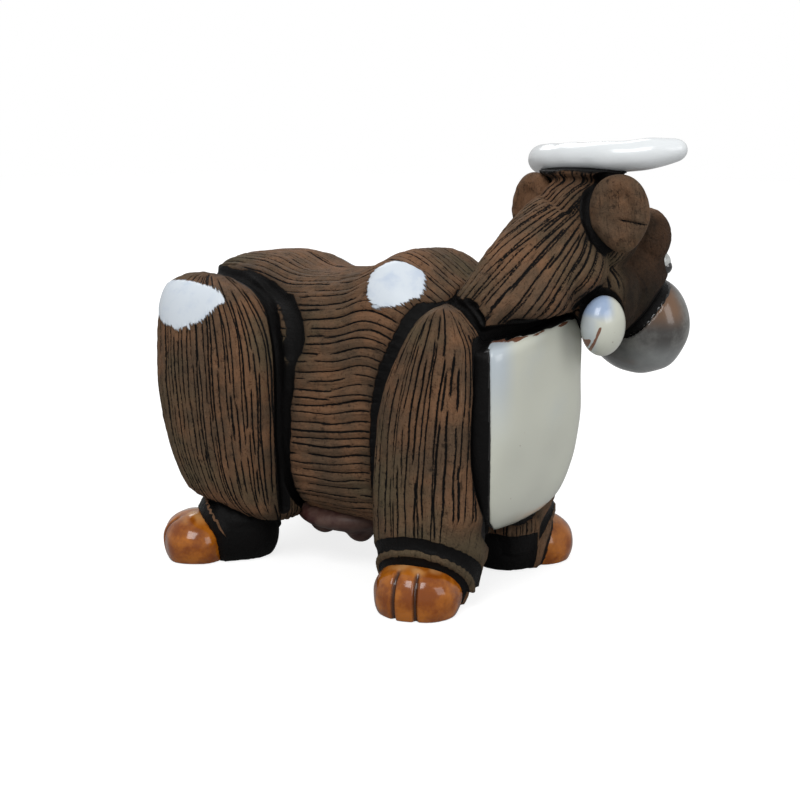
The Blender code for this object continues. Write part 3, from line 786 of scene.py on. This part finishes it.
def clay_piece(name, form, neighbours, seed, carved=1.0, between=1, dark=0.0, wash_and_painted_shade=0.0):
    """Carve one mass, sink it where it meets its neighbours, and finish it as clay, darkened near them as
    painted shade.
    """
    lines = strokes(seed, form.whole, form.along.min(), form.along.max(), between)
    depth, pigment = carve(form, lines)
    cover = patch_cover(form.points)
    black, ridge = band_field(form.points)
    near = np.maximum(nearness(form.points, neighbours), along_paths(form.points, CHANNELS))
    # Nearness to the neighbours and channels, widened: the mask of painted shade between masses
    around = smooth((near + 2) / 3)
    level = near + CHANNEL_RAGGEDNESS * waves(form.points, 11, seed + 3)
    near = np.clip(level, 0, 1)
    sunk = smooth(near * 1.3)
    edge = smooth((near - 0.06) / 0.16)
    rough = 0.03 * waves(form.points, 1.6, seed + 1) + 0.04 * waves(form.points, 4.0, seed + 2)
    plain = np.clip(1 - cover - edge - black - ridge, 0, 1)
    offset = LUMP_HEIGHT * waves(form.points, 17, seed + 4) * (1 - sunk)
    relief = (rough - depth * carved) * plain - CHANNEL_DEPTH * sunk
    offset += relief - BAND_DEPTH * black + RIDGE_HEIGHT * ridge + GLAZE_THICKNESS * cover
    made = displaced(form, offset)
    # Black slip of the channels, which here also holds the painted shade on the thighs' upper fronts
    slip = np.clip(0.5 + 0.9 * (level - 0.14), 0, 1)
    attributes = {
        "pigment": pigment * plain * carved,
        "channel": np.maximum.reduce([slip, black, dark * (1 - ridge)]),
        "wash_and_painted_shade": np.clip(0.55 * around * (1 - ridge) + wash_and_painted_shade, 0, 1),
        "flow": flow_of(form),
    }
    return finish_piece(name, made, CLAY, attributes)


# White glaze patches: corners in the layout, and the way each patch faces
PATCH_DEPTH = 12.0
PATCHES = [
    (((-48, -25, 70.5), (-38.1, -27.2, 73.0), (-27.5, -28.5, 72.0), (-24.0, -30.2, 69.8),
      (-28.3, -33.2, 64.4), (-35.6, -34.3, 60.8), (-43.5, -33, 62.0), (-49, -29, 66)),
     (-0.15, -0.75, 0.65)),
    (((15.4, -20.6, 72.3), (13.6, -16.8, 76.6), (15.3, -13.9, 79.0), (20.1, -12.3, 79.7),
      (25.9, -11.4, 76.9), (28.8, -16.0, 72.6), (24.7, -20.2, 69.7), (18.6, -21.9, 68.9)),
     (0.05, -0.75, 0.66)),
    (((-33, 16.5, 77.5), (-20, 15, 78.0), (-14, 18, 76.5), (-16, 24, 72.5), (-26, 27, 71.5),
      (-34, 23, 74)), (0.0, 0.6, 0.8)),
]


def to_linear(red, green, blue):
    """A display colour from 0 to 255 as the shader's linear values."""
    parts = [channel / 255 for channel in (red, green, blue)]
    return tuple(part / 12.92 if part <= 0.04045 else ((part + 0.055) / 1.055) ** 2.4
                 for part in parts) + (1.0,)


def new_node(tree, kind, values, **settings):
    """Add one node with its settings, and give each input a value or a link."""
    node = tree.nodes.new("ShaderNode" + kind)
    for setting, value in settings.items():
        setattr(node, setting, value)
    for socket, value in values.items():
        if isinstance(value, bpy.types.NodeSocket):
            tree.links.new(value, node.inputs[socket])
        else:
            node.inputs[socket].default_value = value
    return node


class Shader:
    """A material under construction: each call adds its nodes and returns their output."""

    def __init__(self, name, roughness=0.5, specular=0.5, coat=0.0, coat_roughness=0.05):
        self.material = bpy.data.materials.new(name)
        self.material.use_nodes = True
        self.tree = self.material.node_tree
        self.surface = self.tree.nodes["Principled BSDF"]
        self.surface.inputs["Roughness"].default_value = roughness
        self.surface.inputs["Specular IOR Level"].default_value = specular
        self.surface.inputs["Coat Weight"].default_value = coat
        self.surface.inputs["Coat Roughness"].default_value = coat_roughness

    def new(self, kind, values, **settings):
        return new_node(self.tree, kind, values, **settings)

    def show(self, value, socket="Base Color"):
        self.tree.links.new(value, self.surface.inputs[socket])

    def attribute(self, name):
        node = self.new("Attribute", {}, attribute_name=name)
        return node.outputs["Vector"] if name == "flow" else node.outputs["Fac"]

    def place(self):
        return self.new("TexCoord", {}).outputs["Object"]

    def scaled(self, vector, scale):
        return self.new("VectorMath", {0: vector, 1: scale}, operation="MULTIPLY").outputs["Vector"]

    def along(self, way):
        values = {0: self.place(), 1: tuple(way)}
        return self.new("VectorMath", values, operation="DOT_PRODUCT").outputs["Value"]

    def noise(self, vector, scale, detail=4.0, roughness=0.55):
        values = {"Vector": vector, "Scale": scale, "Detail": detail, "Roughness": roughness}
        return self.new("TexNoise", values).outputs["Fac"]

    def math(self, operation, first, second=0.0):
        return self.new("Math", {0: first, 1: second}, operation=operation).outputs[0]

    def swing(self, value, size):
        """A noise from 0 to 1 turned to swing about 0."""
        return self.math("MULTIPLY", self.math("SUBTRACT", value, 0.5), size)

    def between(self, value, low, high):
        """0 below low and 1 above high, smooth in between."""
        values = {"Value": value, "From Min": low, "From Max": high}
        return self.new("MapRange", values, interpolation_type="SMOOTHSTEP").outputs["Result"]

    def mix(self, share, first, second):
        return self.new("Mix", {0: share, 6: first, 7: second}, data_type="RGBA").outputs[2]

    def blend(self, share, first, second):
        return self.new("Mix", {0: share, 2: first, 3: second}, data_type="FLOAT").outputs[0]

    def bump(self, height, strength, distance):
        values = {"Strength": strength, "Distance": distance, "Height": height}
        self.show(self.new("Bump", values).outputs["Normal"], "Normal")

    def patch(self, corners, facing, ragged):
        """Mask of one flat-sided patch with round corners and a ragged edge."""
        beyond = None
        for out, place in patch_edges(corners, facing):
            plane = (place + out.dot(TO_FRAME)) * MM
            distance = self.math("SUBTRACT", self.along(out), plane)
            if beyond is None:
                beyond = distance
            else:
                beyond = self.math("SMOOTH_MAX", beyond, distance)
                beyond.node.inputs[2].default_value = 2.0 * MM
        level = unit(facing).dot(np.mean(corners, axis=0) + TO_FRAME) * MM
        far = self.math("ABSOLUTE", self.math("SUBTRACT", self.along(unit(facing)), level))
        beyond = self.math("ADD", beyond, self.swing(ragged, 3.4 * MM))
        near = self.math("LESS_THAN", far, PATCH_DEPTH * MM)
        return self.math("MULTIPLY", self.between(beyond, 0.15 * MM, -0.15 * MM), near)


BLACK_SLIP = to_linear(10, 9, 9)
UMBER = to_linear(98, 79, 62)
TERRACOTTA = to_linear(132, 97, 71)
TAN = to_linear(148, 120, 96)
OLIVE = to_linear(98, 86, 66)
# White of the shield and cheeks: a greenish glaze, written greyer than the horn white as painted shade
SHADED_WHITE_GLAZE = to_linear(204, 206, 193)
HORN_GLAZE = to_linear(232, 236, 238)
PATCH_GLAZE = to_linear(214, 222, 230)
BLUE_TINT = to_linear(150, 172, 205)
# Brown of worn glaze, also used as painted shade on the cheeks
BROWN_WEAR_AND_SHADE = to_linear(112, 66, 42)
AMBER_LIGHT = to_linear(176, 102, 24)
AMBER_DEEP = to_linear(130, 64, 4)
AMBER_TOP_HIGHLIGHT = to_linear(196, 146, 92)
AMBER_CLEFT = to_linear(64, 30, 8)
GREY_LIGHT = to_linear(122, 122, 118)
GREY_DEEP = to_linear(66, 64, 62)
GREY_PAINTED_REFLECTION = to_linear(150, 154, 154)
MUZZLE_BROWN = to_linear(116, 86, 62)
UDDER_BROWN = to_linear(92, 70, 62)
UDDER_RED = to_linear(58, 30, 28)


def clay_material():
    clay = Shader("carved_clay", roughness=0.6, specular=0.12)
    flow = clay.attribute("flow")
    place = clay.place()
    streaks = clay.noise(clay.scaled(flow, (1.5, 1.5, 0.20)), 1.0, detail=6.0, roughness=0.70)
    fine = clay.noise(clay.scaled(flow, (5.0, 5.0, 0.9)), 1.0, detail=4.0, roughness=0.65)
    patches = clay.noise(place, 90.0, detail=5.0, roughness=0.65)
    warm = clay.noise(place, 32.0, detail=3.0)
    mottle = clay.noise(place, 520.0, detail=5.0, roughness=0.72)
    grit = clay.noise(place, 2200.0, detail=3.0, roughness=0.7)
    body = clay.mix(clay.between(patches, 0.36, 0.66), UMBER, TERRACOTTA)
    body = clay.mix(clay.between(warm, 0.50, 0.68), body, OLIVE)
    light = clay.math("MULTIPLY", clay.between(streaks, 0.52, 0.78), clay.between(mottle, 0.38, 0.66))
    body = clay.mix(clay.math("MULTIPLY", light, 0.75), body, TAN)
    dark = clay.math("MAXIMUM", clay.between(streaks, 0.47, 0.27), clay.between(mottle, 0.46, 0.28))
    body = clay.mix(clay.math("MULTIPLY", dark, 0.70), body, BLACK_SLIP)
    speck = clay.math("MULTIPLY", clay.between(grit, 0.56, 0.70), 0.55)
    body = clay.mix(speck, body, BLACK_SLIP)
    # Towards black with the wash: painted shade near channels, on the lower face and shins, and a slightly
    # darker tone on the ears
    wash_and_painted_shade = clay.math("MULTIPLY", clay.attribute("wash_and_painted_shade"), clay.blend(mottle, 0.55, 1.15))
    body = clay.mix(clay.math("MINIMUM", wash_and_painted_shade, 0.85), body, BLACK_SLIP)
    ground = clay.math("ADD", clay.attribute("pigment"), clay.swing(fine, 1.6))
    ground = clay.math("ADD", ground, clay.swing(grit, 0.5))
    filled = clay.between(ground, 0.26, 0.66)
    body = clay.mix(filled, body, BLACK_SLIP)
    edge = clay.math("ADD", clay.attribute("channel"), clay.swing(mottle, 0.4))
    channel = clay.between(edge, 0.42, 0.54)
    body = clay.mix(channel, body, BLACK_SLIP)
    masks = [clay.patch(corners, facing, streaks) for corners, facing in PATCHES]
    white = masks[0]
    for mask in masks[1:]:
        white = clay.math("MAXIMUM", white, mask)
    cloud = clay.between(clay.noise(place, 190.0, detail=3.0), 0.45, 0.75)
    glazed = clay.mix(clay.math("MULTIPLY", cloud, 0.35), PATCH_GLAZE, BLUE_TINT)
    clay.show(clay.mix(white, body, glazed))
    rough = clay.blend(filled, clay.blend(streaks, 0.55, 0.75), 0.60)
    rough = clay.blend(channel, rough, 0.45)
    clay.show(clay.blend(white, rough, 0.2), "Roughness")
    height = clay.math("ADD", clay.math("MULTIPLY", mottle, 0.8), clay.math("MULTIPLY", fine, 0.5))
    height = clay.math("ADD", height, clay.math("MULTIPLY", grit, 0.3))
    height = clay.math("MULTIPLY", height, clay.math("SUBTRACT", 1.0, white))
    flat = clay.math("SUBTRACT", 1.0, clay.math("MULTIPLY", channel, 0.6))
    clay.bump(clay.math("MULTIPLY", height, flat), 1.0, 0.0008)
    return clay.material


def white_material(name, colour, tinting):
    glaze = Shader(name, roughness=0.22, specular=0.5, coat=0.4, coat_roughness=0.1)
    place = glaze.place()
    cloud = glaze.noise(place, 60.0, detail=4.0)
    blue = glaze.math("MULTIPLY", glaze.between(cloud, 0.50, 0.80), tinting)
    blue = glaze.math("MAXIMUM", blue, glaze.attribute("tint_and_reflection"))
    body = glaze.mix(blue, colour, BLUE_TINT)
    ragged = glaze.math("SUBTRACT", glaze.noise(place, 500.0, detail=4.0), 0.5)
    # Brown where the glaze is worn, and on the cheeks' lower rear as painted shade
    worn_and_shaded = glaze.between(glaze.math("ADD", glaze.attribute("wear_and_painted_light"), ragged), 0.45, 0.62)
    body = glaze.mix(glaze.math("MULTIPLY", worn_and_shaded, 0.95), body, BROWN_WEAR_AND_SHADE)
    speck = glaze.between(glaze.noise(place, 700.0, detail=1.0), 0.79, 0.83)
    body = glaze.mix(glaze.math("MULTIPLY", speck, 0.5), body, BROWN_WEAR_AND_SHADE)
    edge = glaze.math("ADD", glaze.attribute("channel"), glaze.math("MULTIPLY", ragged, 0.5))
    slip = glaze.between(edge, 0.42, 0.56)
    glaze.show(glaze.blend(slip, 0.22, 0.55), "Roughness")
    glaze.show(glaze.mix(slip, body, BLACK_SLIP))
    glaze.bump(cloud, 0.12, 0.0006)
    return glaze.material


def amber_material():
    glaze = Shader("amber_glaze", roughness=0.16, specular=0.4, coat=0.4, coat_roughness=0.06)
    cloud = glaze.noise(glaze.place(), 170.0, detail=4.0, roughness=0.6)
    body = glaze.mix(glaze.between(cloud, 0.35, 0.62), AMBER_LIGHT, AMBER_DEEP)
    # Paler top of each toe cap: painted highlight, partly thinner glaze
    body = glaze.mix(glaze.attribute("wear_and_painted_light"), body, AMBER_TOP_HIGHLIGHT)
    glaze.show(glaze.mix(glaze.attribute("channel"), body, AMBER_CLEFT))
    glaze.bump(cloud, 0.08, 0.0005)
    return glaze.material


def grey_material():
    glaze = Shader("grey_glaze", roughness=0.25, specular=0.5, coat=0.4, coat_roughness=0.08)
    cloud = glaze.noise(glaze.place(), 80.0, detail=5.0, roughness=0.62)
    body = glaze.mix(glaze.between(cloud, 0.34, 0.62), GREY_LIGHT, GREY_DEEP)
    # Paler grey towards the muzzle's bottom: painted reflection
    body = glaze.mix(glaze.attribute("tint_and_reflection"), body, GREY_PAINTED_REFLECTION)
    brown = glaze.math("MULTIPLY", glaze.attribute("wear_and_painted_light"), glaze.between(cloud, 0.30, 0.50))
    body = glaze.mix(brown, body, MUZZLE_BROWN)
    glaze.show(glaze.mix(glaze.between(glaze.attribute("channel"), 0.35, 0.60), body, BLACK_SLIP))
    glaze.bump(cloud, 0.1, 0.0005)
    return glaze.material


def eye_material(name, sheen, scale, first, second):
    """Glassy eye glaze; sheen holds roughness, specular level, coat and coat roughness."""
    glaze = Shader(name, *sheen)
    glaze.show(glaze.mix(glaze.noise(glaze.place(), scale), first, second))
    return glaze.material


def udder_material():
    glaze = Shader("udder_glaze", roughness=0.45, specular=0.3)
    cloud = glaze.noise(glaze.place(), 130.0, detail=4.0)
    glaze.show(glaze.mix(glaze.between(cloud, 0.38, 0.64), UDDER_BROWN, UDDER_RED))
    glaze.bump(cloud, 0.2, 0.0006)
    return glaze.material


CLAY = clay_material()
WHITE = white_material("shaded_white_glaze", SHADED_WHITE_GLAZE, 0.12)
HORN_WHITE = white_material("horn_glaze", HORN_GLAZE, 0.08)
AMBER = amber_material()
GREY = grey_material()
EYE = eye_material("eye_glaze", (0.06, 0.6, 1.0, 0.02), 400.0,
                   to_linear(14, 12, 12), to_linear(26, 22, 20))
EYE_WHITE_AND_HIGHLIGHT = eye_material("eye_white_and_highlight", (0.1, 0.5, 0.8, 0.03), 300.0,
                         to_linear(206, 208, 204), to_linear(186, 190, 190))
UDDER = udder_material()


def coarse_masses():
    """A light copy of every mass, to measure how near a piece is to its neighbours."""
    masses = {"trunk": trunk(120, 2.5), "neck": neck(80, 2.5), "bib": bib(96, 2.5)}
    for side, name in ((-1, "right"), (1, "left")):
        masses["thigh_" + name] = thigh(side, 96, 2.5)
        masses["shoulder_" + name] = shoulder(side, 72, 2.5)
    return masses


CHANNELS = channel_paths()


def head_axis():
    """Line from the shoulder up through the neck and head, with its own frame."""
    knots = np.array([(12, -12, 30), (32, 1, 60), (52, 14, 90), (72, 27, 120)])
    path = spline(knots, np.linspace(0, len(knots) - 1, 240))
    tangent = np.gradient(path, axis=0)
    tangent /= np.linalg.norm(tangent, axis=1)[:, None]
    side = np.cross(tangent[0], (0.2, 1, 0))
    sides = []
    for direction in tangent:
        side = unit(side - direction * side.dot(direction))
        sides.append(side)
    way = np.append(0.0, np.cumsum(np.linalg.norm(np.diff(path, axis=0), axis=1)))
    return path, tangent, np.array(sides), way


def around_axis(form, radius):
    """Give a form its way around and along the head's axis."""
    path, tangent, sides, way = head_axis()
    nearest = np.empty(len(form.points), int)
    for block in np.array_split(np.arange(len(form.points)), 40):
        gaps = np.linalg.norm(form.points[block][:, None] - path[None], axis=2)
        nearest[block] = gaps.argmin(axis=1)
    offset = form.points - path[nearest]
    along_by = (offset * tangent[nearest]).sum(axis=1)
    flat = offset - tangent[nearest] * along_by[:, None]
    third = np.cross(tangent[nearest], sides[nearest])
    angle = np.arctan2((flat * third).sum(axis=1), (flat * sides[nearest]).sum(axis=1))
    form.whole = 2 * pi * radius
    form.around = (angle % (2 * pi)) * radius
    form.along = way[nearest] + along_by
    form.scale = np.linalg.norm(flat, axis=1) / radius
    return form


def ear(side):
    """Drooping leaf-shaped ear with a raised rim round a hollow."""
    centre = head_point(side * (HEAD_WIDTH / 2 + (1.5 if side > 0 else 0.0)), -1.5, 1.0)
    flare = RIGHT_EAR_FLARE if side > 0 else LEFT_EAR_FLARE
    turn = rotation(yaw=HEAD_TURN - 90 + flare) @ rotation(pitch=side * EAR_LEAN)
    half_sizes = np.array((EAR_WIDTH, EAR_THICKNESS, EAR_LENGTH)) / 2
    form = blob((0, 0, 0), half_sizes, AXES, 2.2, fineness=6)
    across, thick, tall = (form.points / half_sizes).T
    ratio = np.sqrt(across ** 2 + (tall - 0.05) ** 2)
    back = smooth(-thick * 2)
    form.points[:, 1] += 1.1 * back * smooth((0.74 - ratio) / 0.4)
    incision = smooth(1 - np.abs(tall + 0.15 + 0.25 * across * side) / 0.05)
    incision = incision * smooth((across * side + 0.2) / 0.3)
    form.points[:, 1] += 0.5 * back * incision * smooth((0.95 - ratio) / 0.15)
    form.points[:, 0] *= 1 - 0.24 * smooth((-0.1 - tall) / 0.9)
    form.points[:, 1] += 0.14 * waves(form.points, 3.5, 71 + side)
    local = form.points.copy()
    form.points = form.points @ turn.T + centre
    form.whole = 40.0
    form.around = (across + 1.5) * 8
    form.along = local[:, 2]
    form.scale = np.ones(len(form.points))
    return form, np.maximum(0.8 * back * incision, 0.3 * smooth(waves(form.points, 5, 81 + side)))


def toe_piece(name, place):
    form = toe(place, 6)
    turn = rotation(yaw=place[2] * place[3])
    local = (form.points - toe_centre(place)) @ turn
    clefts = np.zeros(len(form.points))
    for offset in (3.3, -1.4):
        line = place[2] * offset * (0.8 + 0.04 * np.maximum(local[:, 0], 0))
        front = smooth((local[:, 0] - 1.5) / 2.5) * smooth((7.4 - local[:, 2]) / 1.2)
        clefts = np.maximum(clefts, smooth(1 - np.abs(local[:, 1] - line) / 0.85) * front)
    made = displaced(form, 0.12 * waves(form.points, 7, 5) - 0.85 * clefts)
    made.points[:, :2] += TOE_WIDENING * local[:, :2] @ turn.T[:2, :2]
    # Paler top of the toe cap: painted highlight, partly thinner glaze at its edge
    rim = smooth((local[:, 2] - 5.6) / 2.2) * smooth(0.6 + 0.8 * waves(form.points, 5, 6))
    return finish_piece(name, made, AMBER, {"channel": smooth(clefts * 1.4), "wear_and_painted_light": 0.75 * rim})


def body_pieces(trees, places):
    """Trunk, thighs and front legs."""
    limbs = [(trees["thigh_right"], 1.9), (trees["thigh_left"], 1.9)]
    limbs += [(trees["shoulder_right"], 1.5), (trees["shoulder_left"], 1.5)]
    limbs += [(trees["neck"], 0.8), (trees["bib"], 1.8)]
    clay_piece("trunk", trunk(columns_for(200), ROW_STEP), limbs, 11)
    for side, name in ((-1, "right"), (1, "left")):
        ankle_tree = tree_of(ankle(places["rear_" + name], 4))
        beside = [(trees["trunk"], 1.6), (ankle_tree, 2.5)]
        clay_piece("thigh_" + name, thigh(side, columns_for(138), ROW_STEP), beside, 21 + side,
                   between=2)
        leg = shoulder(side, columns_for(84), 0.8 * ROW_STEP)
        ahead = np.maximum(leg.points[:, 0] - FRONT_X - 6.0, 0)
        leg.points[:, 0] -= FAR_LEG_PULL * ahead * smooth((46 - leg.points[:, 2]) / 10) * (side > 0)
        middle = smooth((leg.points[:, 2] - 18) / 6) * smooth((70 - leg.points[:, 2]) / 8)
        front = smooth((leg.points[:, 0] - FRONT_X - 7) / 6)
        leg.points[:, 0] += NEAR_LEG_REACH * front * middle * (side < 0)
        # Lower front of each front leg: left uncarved and darkened a little as painted shade
        shin = smooth((leg.points[:, 0] - FRONT_X - 9.0) / 1.5) * smooth((24 - leg.points[:, 2]) / 3)
        beside = [(trees["trunk"], 1.2), (trees["bib"], 0.9), (trees["neck"], 1.4)]
        clay_piece("shoulder_" + name, leg, beside, 31 + side, 1 - shin, between=2, wash_and_painted_shade=0.2 * shin)


def cheek_piece(name, side):
    """White cheek patch, blue at its top, with a worn brown streak and brown painted shade at its lower
    rear.
    """
    patch = cheek(side)
    local = (patch.points - patch.points.mean(axis=0)) @ HEAD_AXES
    across = 0.67 * side * local[:, 0] + 0.73 * local[:, 1]
    back = smooth((-across - 1.0) / 2.5)
    tint_and_reflection = 0.9 * smooth((local[:, 2] - 1.0) / 3.0) * smooth((2.8 - across) / 3)
    slant = across + 1.5 - 0.33 * local[:, 2]
    glaze_streak_and_painted_shade = 0.9 * smooth(1.2 - np.abs(slant) / 0.6) * smooth((1.5 - local[:, 2]) / 2)
    # Lower rear of the patch in brown: painted shade
    glaze_streak_and_painted_shade = np.maximum(glaze_streak_and_painted_shade, smooth((-slant - 0.4) / 0.8) * smooth((-1.5 - local[:, 2]) / 2))
    finish_piece(name, patch, WHITE, {"wear_and_painted_light": glaze_streak_and_painted_shade, "tint_and_reflection": np.maximum(tint_and_reflection, 0.35 * back)})


def head_pieces(trees):
    """Neck with the skull, ears, cheeks, eyes, horns and muzzle."""
    skull_tree = tree_of(fused(head_masses(), 0.8, 2))
    muzzle_tree = tree_of(muzzle())
    horn_tree = tree_of(fused(horns(), 0.6, 2))
    ears = {side: ear(side) for side in (-1, 1)}
    beside = [(trees["shoulder_right"], 2.2), (trees["shoulder_left"], 2.2)]
    beside += [(trees["trunk"], 0.8), (trees["bib"], 2.4), (horn_tree, 3.2), (muzzle_tree, 3.2)]
    beside += [(tree_of(form), 2.6) for form, _ in ears.values()]
    beside += [(tree_of(cheek(side)), 2.9) for side in (-1, 1)]

    neck_form = fused([neck(96, 2.0)] + head_masses(), 0.36, 6)
    around_axis(neck_form, 14.0)
    local = (neck_form.points - head_point(0, 0, 0)) @ HEAD_AXES
    # The face is carved less, and below the eyes it is darkened as painted shade
    face = smooth((local[:, 1] - 2.5) / 5.0)
    lower_face_painted_shade = smooth((2.0 - local[:, 2]) / 4.0)
    clay_piece("neck_and_head", neck_form, beside, 41, 0.95 - 0.80 * face, 3,
               wash_and_painted_shade=0.85 * face * lower_face_painted_shade)

    for side, name in ((-1, "left"), (1, "right")):
        form, hollow = ears[side]
        shade = np.zeros(len(form.points))
        finish_piece("ear_" + name, form, CLAY, {"pigment": hollow, "channel": shade,
                                                  "wash_and_painted_shade": shade + 0.12, "flow": flow_of(form)})
        cheek_piece("cheek_" + name, side)
        centre = head_point(side * EYE_SPACING / 2, 23.3, -12)
        finish_piece("eye_" + name, blob(centre, (EYE_RADIUS,) * 3, fineness=5), EYE_WHITE_AND_HIGHLIGHT)
        # The pupil sits low on the white eyeball, so white shows above it: the eye's white, and in part a
        # painted highlight
        pupil = centre + HEAD_AXES @ np.array((side * 1.1, 0.5, -1.2))
        finish_piece("pupil_" + name, blob(pupil, (PUPIL_RADIUS,) * 3, fineness=5), EYE)

    crescent = fused(horns(), 0.4, 14)
    bare = np.zeros(len(crescent.points))
    finish_piece("horns", displaced(crescent, 0.10 * waves(crescent.points, 9, 51)), HORN_WHITE,
                 {"wear_and_painted_light": bare, "tint_and_reflection": bare})

    snout = muzzle()
    local = (snout.points - head_point(0, MUZZLE_REACH, -FACE_DROP)) @ HEAD_AXES
    sunk = smooth(3 * nearness(snout.points, [(skull_tree, 0.9)]))
    brown = smooth((local[:, 2] + 1.0) / 6) * smooth((3 - local[:, 1]) / 5)
    # Paler lower part of the glossy muzzle: painted reflection
    painted_reflection_below = 0.7 * smooth((-2 - local[:, 2]) / 7)
    finish_piece("muzzle", displaced(snout, 0.12 * waves(snout.points, 9, 52) - 0.4 * sunk), GREY,
                 {"channel": sunk, "wear_and_painted_light": brown, "tint_and_reflection": painted_reflection_below}, sunk)


def bib_piece(trees):
    """White shield with black sides, a worn lip and a foot that is lowest in the middle."""
    shield = bib(columns_for(125), 0.85)
    beside = [(trees["shoulder_right"], 1.0), (trees["shoulder_left"], 1.0), (trees["neck"], 1.0)]
    near = nearness(shield.points, beside)
    sideways = np.clip((shield.points[:, 1] - BIB_SIDE) / (BIB_WIDTH / 2), -1, 1)
    low = smooth((BIB_BOTTOM + 14 - shield.points[:, 2]) / 14)
    tilt = BIB_TOP_TILT * sideways * smooth((shield.points[:, 2] - BIB_TOP + 18) / 18)
    shield.points[:, 2] += (BIB_FOOT_LIFT + np.abs(sideways)) * low + tilt
    x, y, z = shield.points.T
    height = (z - tilt - BIB_BOTTOM) / (BIB_TOP - BIB_BOTTOM)
    slope = BIB_CORNER_SLOPE
    corner = FRONT_X + CHEST_OVERHANG + BIB_PROUD + slope * (BIB_SIDE - BIB_WIDTH / 2)
    edge = corner - 1.7 + 1.4 * (1 - height) - x
    sides = [smooth((edge - slope * side * (y - BIB_SIDE) - slope * BIB_SIDE) / 0.9)
             for side in (1, -1)]
    slipped = np.maximum.reduce([smooth(near * 3), sides[0], sides[1]])
    slipped = np.maximum(slipped, smooth((height - 0.988) / 0.01))
    lip = 0.9 * smooth((height - 0.980) / 0.008) * smooth((0.996 - height) / 0.008)
    tint_and_reflection = 0.45 * smooth((height - 0.45) / 0.5) * smooth((corner + 7 - x - slope * y) / 6)
    finish_piece("bib", displaced(shield, 0.12 * waves(shield.points, 14, 54) - 0.5 * slipped), WHITE,
                 {"wear_and_painted_light": lip, "tint_and_reflection": tint_and_reflection, "channel": slipped}, slipped)


def around_upright(form, x, y, whole):
    """Give a form its way around and along an upright line at x and y."""
    form.whole = whole
    form.around = (np.arctan2(y, x) / (2 * pi) % 1) * whole
    form.along = form.points[:, 2]
    form.scale = np.ones(len(form.points))


def foot_pieces(places):
    """Toe cap and ankle of each foot."""
    for name, place in places.items():
        toe_piece("toe_" + name, place)
        form = ankle(place, 5)
        around_upright(form, form.points[:, 0] - place[0], form.points[:, 1] - place[1], 60.0)
        beside = [(tree_of(toe(place, 4)), 1.0)]
        clay_piece("ankle_" + name, form, beside, 61 + place[2], 0.5, dark=float("rear" in name))


def build_cow():
    trees = {name: tree_of(form) for name, form in coarse_masses().items()}
    places = hoof_places()
    body_pieces(trees, places)
    head_pieces(trees)
    bib_piece(trees)
    foot_pieces(places)

    bag = fused(udder_masses(), 0.5, 8)
    finish_piece("udder", displaced(bag, 0.2 * waves(bag.points, 7, 55)), UDDER)
    tail = fused(tail_masses(), 0.45, 6)
    around_upright(tail, -(tail.points[:, 0] + 46), tail.points[:, 1], 20.0)
    clay_piece("tail", tail, [(trees["trunk"], 0.8)], 71)


def white_surroundings(scene):
    """White world and floor for the camera, at a plain level for the object."""
    world = bpy.data.worlds.new("studio")
    scene.world = world
    world.use_nodes = True
    tree = world.node_tree
    path = new_node(tree, "LightPath", {})
    seen = new_node(tree, "Math", {0: path.outputs["Is Camera Ray"],
                                   1: path.outputs["Is Transmission Ray"]}, operation="MAXIMUM")
    level = new_node(tree, "Mix", {0: seen.outputs[0], 2: WORLD_LEVEL, 3: 1.0}, data_type="FLOAT")
    background = tree.nodes["Background"]
    background.inputs["Color"].default_value = (1, 1, 1, 1)
    tree.links.new(level.outputs[0], background.inputs["Strength"])

    bpy.ops.mesh.primitive_plane_add(size=6.0, location=(0, 0, -0.0002))
    floor = bpy.context.object
    floor.name = "floor"
    paper = bpy.data.materials.new("floor")
    paper.use_nodes = True
    tree = paper.node_tree
    tree.nodes.remove(tree.nodes["Principled BSDF"])
    path = new_node(tree, "LightPath", {})
    share = new_node(tree, "Math", {0: path.outputs["Is Camera Ray"], 1: FLOOR_GLOW},
                     operation="MULTIPLY")
    matte = new_node(tree, "BsdfDiffuse", {"Color": (FLOOR_GREY, FLOOR_GREY, FLOOR_GREY, 1)})
    glow = new_node(tree, "Emission", {"Strength": share.outputs[0]})
    both = new_node(tree, "AddShader", {0: matte.outputs[0], 1: glow.outputs[0]})
    tree.links.new(both.outputs[0], tree.nodes["Material Output"].inputs["Surface"])
    floor.data.materials.append(paper)


def studio():
    """White floor and backdrop, soft lights, and the camera at the photograph's angle."""
    scene = bpy.context.scene
    scene.view_settings.view_transform = "Standard"
    white_surroundings(scene)
    for name, place, power in (("key", (0.25, -0.75, 0.95), 6.5),
                               ("fill", (0.95, -0.10, 0.45), 2.6),
                               ("back", (-0.60, 0.55, 0.80), 3.0)):
        lamp = bpy.data.lights.new(name, "AREA")
        lamp.size = 0.60
        lamp.energy = power
        light = bpy.data.objects.new(name, lamp)
        light.location = place
        towards = Vector((0, 0, 0.05)) - Vector(place)
        light.rotation_euler = towards.to_track_quat("-Z", "Y").to_euler()
        scene.collection.objects.link(light)

    lens = bpy.data.cameras.new("camera")
    lens.lens = CAMERA_LENS
    lens.sensor_width = CAMERA_SENSOR
    camera = bpy.data.objects.new("camera", lens)
    camera.location = Vector(CAMERA_PLACE) * MM + Vector(TO_FRAME) * MM
    camera.rotation_euler = (radians(90 - CAMERA_DOWN), 0, radians(CAMERA_TURN))
    scene.collection.objects.link(camera)
    scene.camera = camera


build_cow()
studio()
